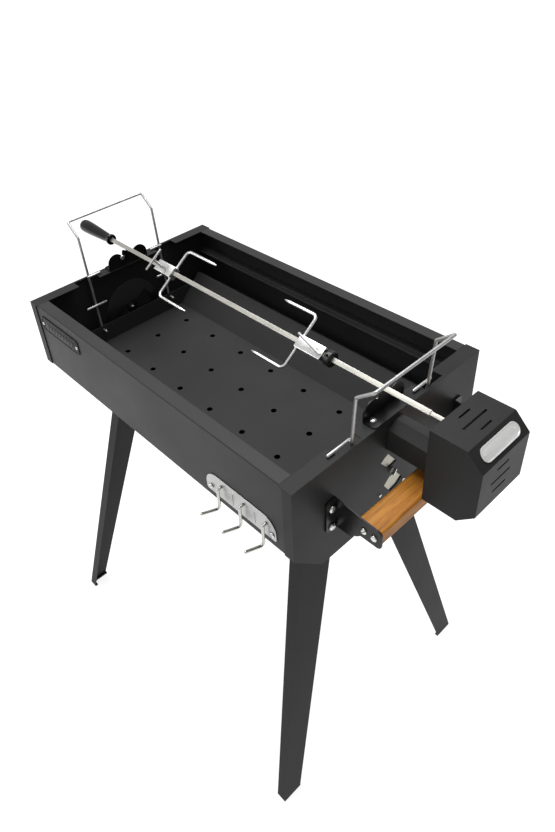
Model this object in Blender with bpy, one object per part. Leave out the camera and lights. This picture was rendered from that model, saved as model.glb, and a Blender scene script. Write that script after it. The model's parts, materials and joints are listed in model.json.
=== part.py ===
"""Charcoal rotisserie spit roaster on four splayed legs.

Body frame: X runs along the trough towards the motor, -Y is the front, z = 0 is the top of the rim.
The root empty puts that frame so that the world origin is on the floor, under the middle of the
whole roaster.
"""
import math

import bmesh
import bpy
from mathutils import Matrix, Vector

# ---- driving dimensions, in metres ------------------------------------------------------------
GAP = 0.0003                 # clearance between two pieces that touch
SHEET = 0.0015               # body sheet metal
RIM_HEIGHT = 0.828           # rim above the floor
HALF_LENGTH = 0.350          # body, outside
HALF_WIDTH = 0.2127
WALL_DEPTH = 0.139           # upright part of the long walls
BODY_DEPTH = 0.196           # rim to the underside of the body
BOTTOM_HALF_WIDTH = 0.155
RIM_WIDTH = 0.025            # inward rim flange
WRAP_WIDTH = 0.019           # end panel's strip round the corner, over the long panel
SKIRT_BEND = 0.0025          # outside bend radius of the folded rim
NOTCH_INNER_Y = 0.071        # rim notches that the lifting bails pass through
NOTCH_OUTER_Y = 0.119
NOTCH_END_X = 0.345
LEDGE_DEPTH = 0.045
LEDGE_WIDTH = 0.024
LEDGE_STEP = 0.003           # the ledge's inner band lies this much lower than its outer band
PAN_LAP = 0.014              # bottom pan's lap up inside the long walls

VENT_Z = -0.112              # axis of the end vents
VENT_DISC_RADIUS = 0.064
VENT_HOLE_RADIUS = 0.0036
VENT_PIN_RADIUS = 0.003
# window corners as (radius, degrees from +Y towards +Z) about the vent axis
UPPER_WINDOW = ((0.043, 130), (0.043, 117), (0.043, 105), (0.0165, 48), (0.0125, 130))
LOWER_WINDOW = ((0.0135, 252), (0.0285, 236), (0.0476, 270), (0.0476, 290), (0.046, 309), (0.018, 312))
DISC_WINDOW_TURN = 90        # the disc's windows sit a quarter turn from the panel's

TRAY_FLOOR_Z = -0.149
TRAY_HALF_LENGTH = 0.3285
TRAY_HALF_FLOOR = 0.113
TRAY_HALF_TOP = 0.168
TRAY_SIDE_TOP_Z = -0.096
TRAY_END_TOP_Z = -0.110
TRAY_HOLE_RADIUS = 0.0055
TRAY_HOLE_PITCH_X = 0.088
TRAY_HOLE_PITCH_Y = 0.077

BAIL_Y = 0.087
BAIL_WIRE = 0.0026
BAIL_PIVOT_Z = -0.119
BAIL_HOLE_RADIUS = 0.0036
BAIL_REST_BAR_LENGTH = 0.048
BAIL_UPPER_BARS = {          # ends of the upper rest bars from the front and back legs, along Y
    "right": ((-0.046, 0.003), (-0.032, 0.014)),
    "left": ((-0.004, 0.026), (-0.026, 0.004)),
}
BAIL_UPPER_BAR_Z = 0.0031
BAIL_KNEE_Z = 0.084
BAIL_TOP = (0.3775, 0.109)   # x and z of the bail's top bar
BAIL_LOWER_BAR_Z = -0.062

SPIT_Z = 0.0365
SPIT_TURN = 36.0             # degrees the forks stand turned at rest
ROD_HALF = 0.004             # square rod, 8 mm
TIP_HALF = 0.003
ROD_START_X = -0.470
ROD_SHOULDER_X = 0.407
ROD_END_X = 0.456
GRIP_START_X = -0.487
GRIP_END_X = -0.378

FORKS = {
    "left": {"bar_x": -0.169, "tip_x": -0.088, "block_x": (-0.214, -0.166), "screw_x": -0.200,
             "screw_bar": 0.048, "screw_turn": 0},
    "right": {"bar_x": 0.160, "tip_x": 0.086, "block_x": (0.158, 0.212), "screw_x": 0.198,
              "screw_bar": 0.058, "screw_turn": 76},
}
COLLAR_X = (0.2185, 0.2295)
FORK_HALF_SPAN = 0.050
FORK_WIRE = 0.0027
FORK_BEND = 0.009
BLOCK_HALF_U = 0.011
BLOCK_HALF_N = 0.008
THUMB_HEIGHT = 0.032
THUMB_WIRE = 0.0022
THUMB_SHANK = 0.0024

SUPPORT_X = 0.3265           # inner face of a spit support
SUPPORT_HALF_Y = 0.046
SUPPORT_SHEET = 0.002
SUPPORT_LOBE = 0.018         # radius of a support's two lobes
SUPPORT_LOBE_TOP = 0.0315
SUPPORT_DIP = (0.0120, 0.0235)       # y and z of the dip between a lobe and the cradle
SUPPORT_POST = (0.0098, 0.0335)      # y and z of the cradle's outer top corner
SUPPORT_CRADLE = 0.0062      # radius of the cradle round the spit
SUPPORT_BOLT_X = HALF_LENGTH - 0.014
SUPPORT_BOLT_Y = 0.034
SUPPORT_HOLE_RADIUS = 0.0028

MOTOR_COVER_X = (0.440, 0.520)
MOTOR_COVER_HALF_Y = 0.054
MOTOR_COVER_TOP = 0.0635
MOTOR_COVER_BOTTOM = -0.064
MOTOR_CHAMFER_TOP = 0.024
MOTOR_CHAMFER_BOTTOM = 0.0255
COVER_WALL = 0.0015
SLIT_HALF = 0.0012           # half width of a cooling slit
TOP_SLITS = ((0.453, (-0.009, 0.015)), (0.469, (-0.024, 0.029)), (0.485, (-0.009, 0.015)))
END_SLITS = ((0.0225, (-0.017, 0.009)), (0.003, (-0.027, 0.016)), (-0.0155, (-0.020, 0.010)))
BADGE_HALF_LONG = 0.041
BADGE_HALF_WIDE = 0.0105
BADGE_SHEET = 0.0012
SOCKET_X = (0.4435, 0.468)
GEARBOX_X = (0.449, 0.488)
SWITCH_X = (0.462, 0.482)
SWITCH_Z = (0.006, 0.034)
SWITCH_THROW = 14            # degrees between off and on
INLET_XZ = (0.472, -0.036)
INLET_RADIUS = 0.007

HANDLE_Y = (-0.129, 0.153)
HANDLE_BAR_X = (0.3935, 0.4345)
HANDLE_BAR_Z = (-0.102, -0.076)
HANDLE_BOLT_Y = (-0.1385, 0.1625)
HANDLE_BOLT_Z = (-0.0845, -0.122)
HANDLE_BOLT_RADIUS = 0.003
BRACKET_SHEET = 0.0025

PLATE_FACE_Y = -HALF_WIDTH + SHEET   # front wall's outer face, less the gap to a plate on it
HOOK_PLATE_X = (0.161, 0.315)
HOOK_PLATE_Z = (-0.126, -0.085)
HOOK_PLATE_SHEET = 0.0012
HOOK_PLATE_CORNER = 0.026
HOOK_X = (0.198, 0.247, 0.296)
HOOK_WIRE = 0.0025
HOOK_ROOT_Z = -0.099
HOOK_HEEL = (-0.2205, -0.141)        # y and z of the bend and of the tip
HOOK_TIP = (-0.2565, -0.124)
NAME_PLATE_X = (-0.318, -0.187)
NAME_PLATE_Z = (-0.050, -0.018)

LEG_TOP = (0.269, 0.112)     # fold line of a leg where it meets the body
LEG_FOOT = (0.3545, 0.2705)
LEG_SHEET = 0.002
LEG_TAB = 0.034              # width of the tab that a leg is bolted up by
LEG_TOP_WIDTH = 0.084
LEG_FOOT_WIDTH = 0.043
LEG_TOP_FLANGE = 0.0255
LEG_FOOT_FLANGE = 0.020
FOOT_PAD = 0.004

BODY_X = -(MOTOR_COVER_X[1] + GRIP_START_X) / 2


# ---- scene and materials ----------------------------------------------------------------------
def clear_scene():
    for old in list(bpy.data.objects):
        bpy.data.objects.remove(old, do_unlink=True)


def make_material(name, colour, roughness, metallic):
    material = bpy.data.materials.new(name)
    material.use_nodes = True
    shader = material.node_tree.nodes["Principled BSDF"]
    shader.inputs["Base Color"].default_value = (*colour, 1.0)
    shader.inputs["Roughness"].default_value = roughness
    shader.inputs["Metallic"].default_value = metallic
    material.diffuse_color = (*colour, 1.0)
    return material


def make_empty(name, location=(0, 0, 0), rotation=(0, 0, 0), parent=None):
    empty = bpy.data.objects.new(name, None)
    empty.location = location
    empty.rotation_euler = rotation
    empty.parent = parent
    bpy.context.scene.collection.objects.link(empty)
    return empty


def make_part(name, mesh, material, parent, location=(0, 0, 0), smooth=False, rotation=(0, 0, 0)):
    part = bpy.data.objects.new(name, mesh)
    mesh.materials.clear()
    mesh.materials.append(material)
    part.location = location
    part.rotation_euler = rotation
    part.parent = parent
    bpy.context.scene.collection.objects.link(part)
    if smooth:
        mesh.shade_smooth()
        mesh.set_sharp_from_angle(angle=math.radians(35))
    return part


# ---- solids -----------------------------------------------------------------------------------
def to_mesh(solid, name="solid"):
    bmesh.ops.recalc_face_normals(solid, faces=solid.faces)
    mesh = bpy.data.meshes.new(name)
    solid.to_mesh(mesh)
    solid.free()
    return mesh


def prism(outline, axis, start, end):
    """Extrude a closed outline. Its two coordinates are the remaining axes in X, Y, Z order."""
    slot = "xyz".index(axis)
    solid = bmesh.new()

    def corner(point, level):
        values = list(point)
        values.insert(slot, level)
        return solid.verts.new(values)

    low = [corner(point, start) for point in outline]
    high = [corner(point, end) for point in outline]
    solid.faces.new(low)
    solid.faces.new(high)
    for index in range(len(outline)):
        after = (index + 1) % len(outline)
        solid.faces.new((low[index], low[after], high[after], high[index]))
    return to_mesh(solid)


def block(x_range, y_range, z_range):
    corners = ((x_range[0], y_range[0]), (x_range[1], y_range[0]),
               (x_range[1], y_range[1]), (x_range[0], y_range[1]))
    return prism(corners, "z", z_range[0], z_range[1])


def arc(centre, radius, start, end, steps):
    """Points on a circle from one angle to another, in degrees."""
    points = []
    for index in range(steps + 1):
        angle = math.radians(start + (end - start) * index / steps)
        points.append((centre[0] + radius * math.cos(angle), centre[1] + radius * math.sin(angle)))
    return points


def rounded_rectangle(x_range, y_range, radius, steps=4):
    left, right = x_range[0] + radius, x_range[1] - radius
    low, high = y_range[0] + radius, y_range[1] - radius
    return (arc((right, high), radius, 0, 90, steps) + arc((left, high), radius, 90, 180, steps)
            + arc((left, low), radius, 180, 270, steps) + arc((right, low), radius, 270, 360, steps))


def polar(centre, corners, turn=0):
    """Corner points from (radius, degrees) pairs about a centre."""
    points = []
    for radius, degrees in corners:
        angle = math.radians(degrees + turn)
        points.append((centre[0] + radius * math.cos(angle), centre[1] + radius * math.sin(angle)))
    return points


def rod(centre, radius, axis, start, end, sides=16):
    """Round bar along an axis. Its centre gives the other two coordinates in X, Y, Z order."""
    circle = arc(centre, radius, 0, 360 - 360 / sides, sides - 1)
    return prism(circle, axis, start, end)


def turned(profile, axis, centre=(0, 0), sides=24):
    """Turn (level, radius) points about an axis into a solid; radius 0 closes an end."""
    slot = "xyz".index(axis)
    solid = bmesh.new()
    rings = []
    for level, radius in profile:
        if radius == 0:
            values = list(centre)
            values.insert(slot, level)
            rings.append([solid.verts.new(values)])
            continue
        ring = []
        for point in arc(centre, radius, 0, 360 - 360 / sides, sides - 1):
            values = list(point)
            values.insert(slot, level)
            ring.append(solid.verts.new(values))
        rings.append(ring)
    closed = profile[0][1] != 0
    pairs = list(zip(rings, rings[1:]))
    if closed:
        pairs.append((rings[-1], rings[0]))
    for first, second in pairs:
        for index in range(sides):
            after = (index + 1) % sides
            if len(first) == 1:
                solid.faces.new((first[0], second[index], second[after]))
            elif len(second) == 1:
                solid.faces.new((first[index], first[after], second[0]))
            else:
                solid.faces.new((first[index], first[after], second[after], second[index]))
    return to_mesh(solid)


def folded(path, thickness, axis, start, end):
    """Sheet folded along a path of (a, b) points, with the given points on its left-hand face."""
    points = [Vector(point) for point in path]
    offset = []
    for index, point in enumerate(points):
        before = (point - points[index - 1]).normalized() if index > 0 else None
        after = (points[index + 1] - point).normalized() if index < len(points) - 1 else None
        before = before or after
        after = after or before
        normal = (Vector((before.y, -before.x)) + Vector((after.y, -after.x))) / 2
        offset.append(point + normal * thickness / normal.length_squared)
    outline = points + offset[::-1]
    return prism([tuple(point) for point in outline], axis, start, end)


def smooth_route(corners, radius, steps=4):
    """Replace each inner corner of a 3-D route by an arc of the given bend radius."""
    points = [Vector(corner) for corner in corners]
    route = [points[0]]
    for before, corner, after in zip(points, points[1:], points[2:]):
        into = (corner - before).normalized()
        out = (after - corner).normalized()
        angle = into.angle(out)
        setback = radius * math.tan(angle / 2)
        start = corner - into * setback
        centre = start + (out - into * into.dot(out)).normalized() * radius
        spoke = start - centre
        turn_axis = into.cross(out).normalized()
        for index in range(steps + 1):
            route.append(centre + Matrix.Rotation(angle * index / steps, 3, turn_axis) @ spoke)
    route.append(points[-1])
    return route


def wire(route, radius, sides=8, point_length=0.0):
    """Round wire along a route, with flat ends, or ground to points of the given length."""
    points = [Vector(point) for point in route]
    radii = [radius] * len(points)
    if point_length:
        start_way = (points[1] - points[0]).normalized()
        end_way = (points[-1] - points[-2]).normalized()
        points.insert(1, points[0] + start_way * point_length)
        points.insert(-1, points[-1] - end_way * point_length)
        radii = [radius * 0.15, *[radius] * (len(points) - 2), radius * 0.15]
    solid = bmesh.new()
    rings = []
    side = None
    for index, point in enumerate(points):
        before = (point - points[index - 1]).normalized() if index > 0 else None
        after = (points[index + 1] - point).normalized() if index < len(points) - 1 else None
        way = ((before or after) + (after or before)).normalized()
        if side is None:
            side = way.orthogonal().normalized()
        side = (side - way * way.dot(side)).normalized()
        up = way.cross(side)
        ring = []
        for corner in range(sides):
            angle = 2 * math.pi * (corner + 0.5) / sides
            spoke = side * math.cos(angle) + up * math.sin(angle)
            ring.append(solid.verts.new(point + spoke * radii[index]))
        rings.append(ring)
    solid.faces.new(rings[0])
    solid.faces.new(rings[-1])
    for first, second in zip(rings, rings[1:]):
        for index in range(sides):
            after = (index + 1) % sides
            solid.faces.new((first[index], first[after], second[after], second[index]))
    return to_mesh(solid)


def combine(mesh, others, operation):
    """Boolean a list of meshes into (UNION) or out of (DIFFERENCE) the first one."""
    base = bpy.data.objects.new("base", mesh)
    bpy.context.scene.collection.objects.link(base)
    tools = []
    for index, other in enumerate(others):
        tool = bpy.data.objects.new("tool", other)
        bpy.context.scene.collection.objects.link(tool)
        modifier = base.modifiers.new(f"step{index}", "BOOLEAN")
        modifier.object = tool
        modifier.operation = operation
        modifier.solver = "EXACT"
        tools.append(tool)
    depsgraph = bpy.context.evaluated_depsgraph_get()
    result = bpy.data.meshes.new_from_object(base.evaluated_get(depsgraph))
    for leftover in (base, *tools):
        bpy.data.objects.remove(leftover, do_unlink=True)
    tidy = bmesh.new()
    tidy.from_mesh(result)
    bmesh.ops.remove_doubles(tidy, verts=tidy.verts, dist=0.00001)
    bmesh.ops.dissolve_limit(tidy, angle_limit=math.radians(0.5), verts=tidy.verts, edges=tidy.edges)
    tidy.to_mesh(result)
    tidy.free()
    return result


def join(mesh, *others):
    return combine(mesh, others, "UNION")


def cut(mesh, *others):
    return combine(mesh, others, "DIFFERENCE")


def moved(mesh, matrix):
    mesh.transform(matrix)
    if matrix.determinant() < 0:
        mesh.flip_normals()
    return mesh


def mirrored(mesh, axis):
    """Copy of a mesh mirrored across the plane through the origin square to an axis."""
    copy = mesh.copy()
    flips = [-1 if letter == axis else 1 for letter in "xyz"]
    return moved(copy, Matrix.Diagonal((*flips, 1)))


# ---- trough -----------------------------------------------------------------------------------
def long_panel():
    """Front wall with its rim flange; the flange stops short of the end panels' flanges."""
    face = HALF_WIDTH - SHEET - GAP
    bend = arc((-face + SKIRT_BEND, -SKIRT_BEND), SKIRT_BEND, 180, 90, 3)
    outer = [(-face, -WALL_DEPTH), *bend, (-HALF_WIDTH + RIM_WIDTH, 0)]
    sheet = folded(outer, SHEET, "x", -HALF_LENGTH + SHEET + GAP, HALF_LENGTH - SHEET - GAP)
    corners = []
    for side in (-1, 1):
        ends = sorted((side * (HALF_LENGTH - RIM_WIDTH - GAP), side * (HALF_LENGTH + GAP)))
        corners.append(block(ends, (-HALF_WIDTH - GAP, -HALF_WIDTH + RIM_WIDTH + GAP),
                             (-SHEET - GAP, SHEET)))
    return cut(sheet, *corners)


def end_panel():
    """Right end: full plate, strips wrapped round the long walls, notched rim flange, vent."""
    plate_outline = [(HALF_WIDTH, 0), (HALF_WIDTH, -WALL_DEPTH), (BOTTOM_HALF_WIDTH, -BODY_DEPTH),
                     (-BOTTOM_HALF_WIDTH, -BODY_DEPTH), (-HALF_WIDTH, -WALL_DEPTH), (-HALF_WIDTH, 0)]
    plate = prism(plate_outline, "x", HALF_LENGTH - SHEET, HALF_LENGTH)
    strips = []
    for side in (-1, 1):
        faces = sorted((side * HALF_WIDTH, side * (HALF_WIDTH - SHEET)))
        strips.append(block((HALF_LENGTH - WRAP_WIDTH, HALF_LENGTH - SHEET / 2), faces, (-WALL_DEPTH, 0)))
    rim = block((HALF_LENGTH - RIM_WIDTH, HALF_LENGTH - SHEET / 2), (-HALF_WIDTH, HALF_WIDTH), (-SHEET, 0))
    shell = join(plate, *strips, rim)
    holes = []
    for side in (-1, 1):
        notch = sorted((side * NOTCH_INNER_Y, side * NOTCH_OUTER_Y))
        holes.append(block((HALF_LENGTH - 2 * RIM_WIDTH, NOTCH_END_X), notch, (-3 * SHEET, SHEET)))
        holes.append(rod((SUPPORT_BOLT_X, side * SUPPORT_BOLT_Y), SUPPORT_HOLE_RADIUS, "z",
                         -3 * SHEET, SHEET, 12))
    through = (HALF_LENGTH - 2 * SHEET, HALF_LENGTH + SHEET)
    holes.append(prism(polar((0, VENT_Z), UPPER_WINDOW), "x", *through))
    holes.append(prism(polar((0, VENT_Z), LOWER_WINDOW), "x", *through))
    holes.append(rod((0, VENT_Z), VENT_HOLE_RADIUS, "x", *through, 16))
    return cut(shell, *holes)


def add_handle_holes(panel):
    """Holes in the right end panel for the handle bolts."""
    holes = []
    for y_value in HANDLE_BOLT_Y:
        for z_value in HANDLE_BOLT_Z:
            holes.append(rod((y_value, z_value), HANDLE_BOLT_RADIUS + GAP, "x",
                             HALF_LENGTH - 2 * SHEET, HALF_LENGTH + SHEET, 12))
    return cut(panel, *holes)


def bottom_pan():
    """Sloped and flat bottom, lapping up inside the long walls."""
    lap = HALF_WIDTH - 2 * SHEET - 2 * GAP
    slope_top = -WALL_DEPTH - 0.0005
    left = [(-lap, -WALL_DEPTH + PAN_LAP), (-lap, slope_top), (-BOTTOM_HALF_WIDTH + 0.001, -BODY_DEPTH)]
    path = left + [(-y_value, z_value) for y_value, z_value in left[::-1]]
    return folded(path, -SHEET, "x", -HALF_LENGTH + SHEET + GAP, HALF_LENGTH - SHEET - GAP)


def ledge_rail():
    """Angle rail inside the front wall that a grill or a hood sits on."""
    wall = -HALF_WIDTH + 2 * SHEET + 2 * GAP
    crease = wall + LEDGE_WIDTH * 0.55
    inner = -LEDGE_DEPTH - LEDGE_STEP
    path = [(wall, -LEDGE_DEPTH - 0.016), (wall, -LEDGE_DEPTH), (crease, -LEDGE_DEPTH),
            (crease + 0.001, inner), (wall + LEDGE_WIDTH, inner)]
    reach = HALF_LENGTH - 0.004
    return folded(path, SHEET, "x", -reach, reach)


# ---- end vents --------------------------------------------------------------------------------
def vent_disc():
    """Stainless damper disc inside the right end panel."""
    back = HALF_LENGTH - SHEET - GAP
    disc = rod((0, VENT_Z), VENT_DISC_RADIUS, "x", back - 0.001, back, 40)
    cutters = []
    for window in (UPPER_WINDOW, LOWER_WINDOW):
        outline = polar((0, VENT_Z), window, DISC_WINDOW_TURN)
        cutters.append(prism(outline, "x", back - 0.003, back + 0.003))
    cutters.append(rod((0, VENT_Z), VENT_PIN_RADIUS + GAP, "x", back - 0.003, back + 0.003, 16))
    return cut(disc, *cutters)


def vent_knob():
    """Pin through the panel with a winged knob outside and a clenched head inside."""
    outer = HALF_LENGTH + GAP
    inner = HALF_LENGTH - SHEET - 2 * GAP - 0.001
    pin = turned([(inner - 0.0018, 0), (inner - 0.0018, 0.0052), (inner, 0.0052), (inner, VENT_PIN_RADIUS),
                  (outer, VENT_PIN_RADIUS), (outer, 0.0055), (outer + 0.0015, 0.0055),
                  (outer + 0.0015, 0)], "x", (0, VENT_Z), 16)
    wing_turn = math.radians(55)
    wing = block((outer + 0.001, outer + 0.0075), (-0.0055, 0.0055), (-0.0011, 0.0011))
    moved(wing, Matrix.Translation((0, 0, VENT_Z)) @ Matrix.Rotation(wing_turn, 4, "X"))
    return join(pin, wing)


# ---- charcoal tray and its lifting bails --------------------------------------------------------
def charcoal_tray():
    """Perforated tray with flared sides and upright ends."""
    side = [(-TRAY_HALF_TOP - 0.006, TRAY_SIDE_TOP_Z), (-TRAY_HALF_TOP, TRAY_SIDE_TOP_Z),
            (-TRAY_HALF_FLOOR, TRAY_FLOOR_Z - SHEET)]
    path = side + [(-y_value, z_value) for y_value, z_value in side[::-1]]
    reach = TRAY_HALF_LENGTH - SHEET / 2
    sheet = folded(path, -SHEET, "x", -reach, reach)
    rise = TRAY_END_TOP_Z - TRAY_FLOOR_Z
    flare = (TRAY_HALF_TOP - TRAY_HALF_FLOOR) / (TRAY_SIDE_TOP_Z - TRAY_FLOOR_Z)
    end_half = TRAY_HALF_FLOOR + rise * flare
    end_outline = [(-TRAY_HALF_FLOOR, TRAY_FLOOR_Z - SHEET / 2), (TRAY_HALF_FLOOR, TRAY_FLOOR_Z - SHEET / 2),
                   (end_half, TRAY_END_TOP_Z), (-end_half, TRAY_END_TOP_Z)]
    ends = []
    for sign in (-1, 1):
        faces = sorted((sign * TRAY_HALF_LENGTH, sign * (TRAY_HALF_LENGTH - SHEET)))
        ends.append(prism(end_outline, "x", *faces))
    tray = join(sheet, *ends)
    holes = []
    for column in range(-3, 4):
        for row in (-1, 0, 1):
            centre = (column * TRAY_HOLE_PITCH_X, row * TRAY_HOLE_PITCH_Y)
            holes.append(rod(centre, TRAY_HOLE_RADIUS, "z", TRAY_FLOOR_Z - 0.01, TRAY_FLOOR_Z + 0.01, 10))
    for sign in (-1, 1):
        ends = sorted((sign * (TRAY_HALF_LENGTH + 0.01), sign * (TRAY_HALF_LENGTH - 0.01)))
        for y_value in (-BAIL_Y, BAIL_Y):
            holes.append(rod((y_value, BAIL_PIVOT_Z), BAIL_HOLE_RADIUS, "x", *ends, 12))
    return cut(tray, *holes)


def lift_bail(upper_bars):
    """Right bail: hooked wire legs, a top bar bent outwards, and two rest bars on each leg."""
    hook_x = TRAY_HALF_LENGTH + 0.0058
    rim_x = NOTCH_END_X - BAIL_WIRE - GAP
    lean = (rim_x - hook_x) / -BAIL_PIVOT_Z
    knee = (rim_x + lean * BAIL_KNEE_Z, BAIL_KNEE_Z)
    legs = []
    for side in (-1, 1):
        y_value = side * BAIL_Y
        legs.append([(TRAY_HALF_LENGTH - 0.012, y_value, BAIL_PIVOT_Z), (hook_x, y_value, BAIL_PIVOT_Z),
                     (knee[0], y_value, knee[1]), (BAIL_TOP[0], y_value, BAIL_TOP[1])])
    corners = legs[0] + legs[1][::-1]
    bail = wire(smooth_route(corners, 0.0045, 3), BAIL_WIRE, 8)
    bars = []
    half = BAIL_REST_BAR_LENGTH / 2
    for side, (start, end) in zip((-1, 1), upper_bars):
        height = BAIL_UPPER_BAR_Z
        x_value = rim_x + lean * height - 2 * BAIL_WIRE + 0.0007
        bars.append(rod((x_value, height), BAIL_WIRE, "y", side * BAIL_Y + start, side * BAIL_Y + end, 8))
        height = BAIL_LOWER_BAR_Z
        x_value = rim_x + lean * height - 2 * BAIL_WIRE + 0.0007
        bars.append(rod((x_value, height), BAIL_WIRE, "y", side * BAIL_Y - half, side * BAIL_Y + half, 8))
    return join(bail, *bars)


# ---- spit supports ------------------------------------------------------------------------------
def spit_support():
    """Right support: foot plate on the rim, and an upstand with a cradle between two lobes."""
    foot_outline = rounded_rectangle((SUPPORT_X, HALF_LENGTH - GAP),
                                     (-SUPPORT_HALF_Y, SUPPORT_HALF_Y), 0.006)
    foot = prism(foot_outline, "z", GAP, GAP + SUPPORT_SHEET)
    lobe_y = SUPPORT_HALF_Y - SUPPORT_LOBE
    lobe_z = SUPPORT_LOBE_TOP - SUPPORT_LOBE
    outline = [(SUPPORT_HALF_Y, GAP + 0.0004)]
    outline += arc((lobe_y, lobe_z), SUPPORT_LOBE, 0, 135, 9)
    outline += [SUPPORT_DIP, SUPPORT_POST]
    outline += [(-y_value, z_value) for y_value, z_value in outline[::-1]]
    upstand = prism(outline, "x", SUPPORT_X + 0.0001, SUPPORT_X + SUPPORT_SHEET)
    bracket = join(foot, upstand)
    through = (SUPPORT_X - 0.01, SUPPORT_X + 0.01)
    cradle = rod((0, SPIT_Z), SUPPORT_CRADLE, "x", *through, 20)
    mouth = block(through, (-SUPPORT_CRADLE, SUPPORT_CRADLE), (SPIT_Z, SPIT_Z + 0.02))
    cutters = [cradle, mouth]
    for side in (-1, 1):
        cutters.append(rod((SUPPORT_BOLT_X, side * SUPPORT_BOLT_Y), SUPPORT_HOLE_RADIUS, "z",
                           -0.01, 0.01, 12))
    return cut(bracket, *cutters)


def support_bolt():
    """Pan-head bolt down through the support and the rim, with its nut drawn up below."""
    head_low = 2 * GAP + SUPPORT_SHEET
    shank = SUPPORT_HOLE_RADIUS - GAP
    return turned([(-SHEET - GAP - 0.004, 0), (-SHEET - GAP - 0.004, 0.0042), (-SHEET - GAP, 0.0042),
                   (-SHEET - GAP, shank), (head_low, shank), (head_low, 0.0052),
                   (head_low + 0.0022, 0.0046), (head_low + 0.0036, 0.0024), (head_low + 0.0036, 0)],
                  "z", (0, 0), 12)


# ---- spit ---------------------------------------------------------------------------------------
def square_bar(half, start, end):
    return block((start, end), (-half, half), (-half, half))


def spit_rod():
    shaft = square_bar(ROD_HALF, ROD_START_X, ROD_SHOULDER_X)
    tip = square_bar(TIP_HALF, ROD_SHOULDER_X - 0.001, ROD_END_X)
    return join(shaft, tip)


def spit_grip():
    """Tapered hand grip with a blind hole for the rod."""
    bore = ROD_HALF * math.sqrt(2) + GAP
    return turned([(GRIP_END_X, bore), (GRIP_END_X, 0.0098), (GRIP_END_X - 0.0015, 0.0113),
                   (GRIP_END_X - 0.005, 0.0113), (GRIP_END_X - 0.010, 0.0092), (GRIP_END_X - 0.018, 0.0096),
                   (-0.440, 0.0120), (-0.470, 0.0132), (-0.482, 0.0130), (-0.4855, 0.0112),
                   (GRIP_START_X, 0.0070), (GRIP_START_X, 0.0005), (ROD_START_X - GAP, 0.0005),
                   (ROD_START_X - GAP, bore)], "x", (0, 0), 20)


def meat_fork(bar_x, tip_x, block_x, screw_x):
    """Two pointed tines bent from one wire, welded into a clamp block that rides on the rod."""
    corners = [(tip_x, -FORK_HALF_SPAN, 0), (bar_x, -FORK_HALF_SPAN, 0),
               (bar_x, FORK_HALF_SPAN, 0), (tip_x, FORK_HALF_SPAN, 0)]
    tines = wire(smooth_route(corners, FORK_BEND, 4), FORK_WIRE, 8, point_length=0.014)
    clamp = block(block_x, (-BLOCK_HALF_U, BLOCK_HALF_U), (-BLOCK_HALF_N, BLOCK_HALF_N))
    fork = join(clamp, tines)
    bore = square_bar(ROD_HALF + GAP, block_x[0] - 0.01, block_x[1] + 0.01)
    screw_hole = rod((screw_x, 0), THUMB_SHANK + GAP, "z", 0, 0.02, 12)
    return cut(fork, bore, screw_hole)


def thumb_screw(bar_length, turn):
    """Clamp screw with a cross bar for a handle, standing on the rod."""
    shank = rod((0, 0), THUMB_SHANK, "z", ROD_HALF + GAP, THUMB_HEIGHT, 12)
    bar = rod((0, THUMB_HEIGHT), THUMB_WIRE, "y", -bar_length / 2, bar_length / 2, 8)
    return moved(join(shank, bar), Matrix.Rotation(math.radians(turn), 4, "Z"))


def stop_collar(x_range):
    """Round collar with a square bore and a grub screw hole."""
    ring = turned([(x_range[0], 0.0115), (x_range[0] + 0.0015, 0.013), (x_range[1] - 0.0015, 0.013),
                   (x_range[1], 0.0115), (x_range[1], 0.004), (x_range[0], 0.004)], "x", (0, 0), 20)
    bore = square_bar(ROD_HALF + GAP, x_range[0] - 0.01, x_range[1] + 0.01)
    middle = (x_range[0] + x_range[1]) / 2
    return cut(ring, bore, rod((middle, 0), 0.002, "z", 0, 0.02, 10))


# ---- motor ----------------------------------------------------------------------------------------
def cover_outline(inset):
    """Side view of the motor cover in X and Z, moved in by an inset."""
    left, right = MOTOR_COVER_X[0], MOTOR_COVER_X[1] - inset
    top, bottom = MOTOR_COVER_TOP - inset, MOTOR_COVER_BOTTOM + inset
    top_cut = MOTOR_CHAMFER_TOP - inset * 0.41
    low_cut = MOTOR_CHAMFER_BOTTOM - inset * 0.41
    return [(left, bottom), (right - low_cut, bottom), (right, bottom + low_cut),
            (right, top - top_cut), (right - top_cut, top), (left, top)]


def motor_cover():
    """Folded hood over the gear motor, open towards the trough, with cooling slits."""
    outer = prism(cover_outline(0), "y", -MOTOR_COVER_HALF_Y, MOTOR_COVER_HALF_Y)
    hollow_outline = cover_outline(COVER_WALL)
    hollow_outline[0] = (MOTOR_COVER_X[0] - 0.01, hollow_outline[0][1])
    hollow_outline[-1] = (MOTOR_COVER_X[0] - 0.01, hollow_outline[-1][1])
    inner_half = MOTOR_COVER_HALF_Y - COVER_WALL
    cutters = [prism(hollow_outline, "y", -inner_half, inner_half)]
    for x_value, y_range in TOP_SLITS:
        cutters.append(block((x_value - SLIT_HALF, x_value + SLIT_HALF), y_range,
                             (MOTOR_COVER_TOP - 0.005, MOTOR_COVER_TOP + 0.005)))
    for z_value, y_range in END_SLITS:
        cutters.append(block((MOTOR_COVER_X[1] - 0.005, MOTOR_COVER_X[1] + 0.005), y_range,
                             (z_value - SLIT_HALF, z_value + SLIT_HALF)))
    cutters.append(block(SWITCH_X, (MOTOR_COVER_HALF_Y - 0.01, MOTOR_COVER_HALF_Y + 0.01), SWITCH_Z))
    cutters.append(rod(INLET_XZ, INLET_RADIUS + GAP, "y", MOTOR_COVER_HALF_Y - 0.01,
                       MOTOR_COVER_HALF_Y + 0.01, 16))
    return cut(outer, *cutters)


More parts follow.
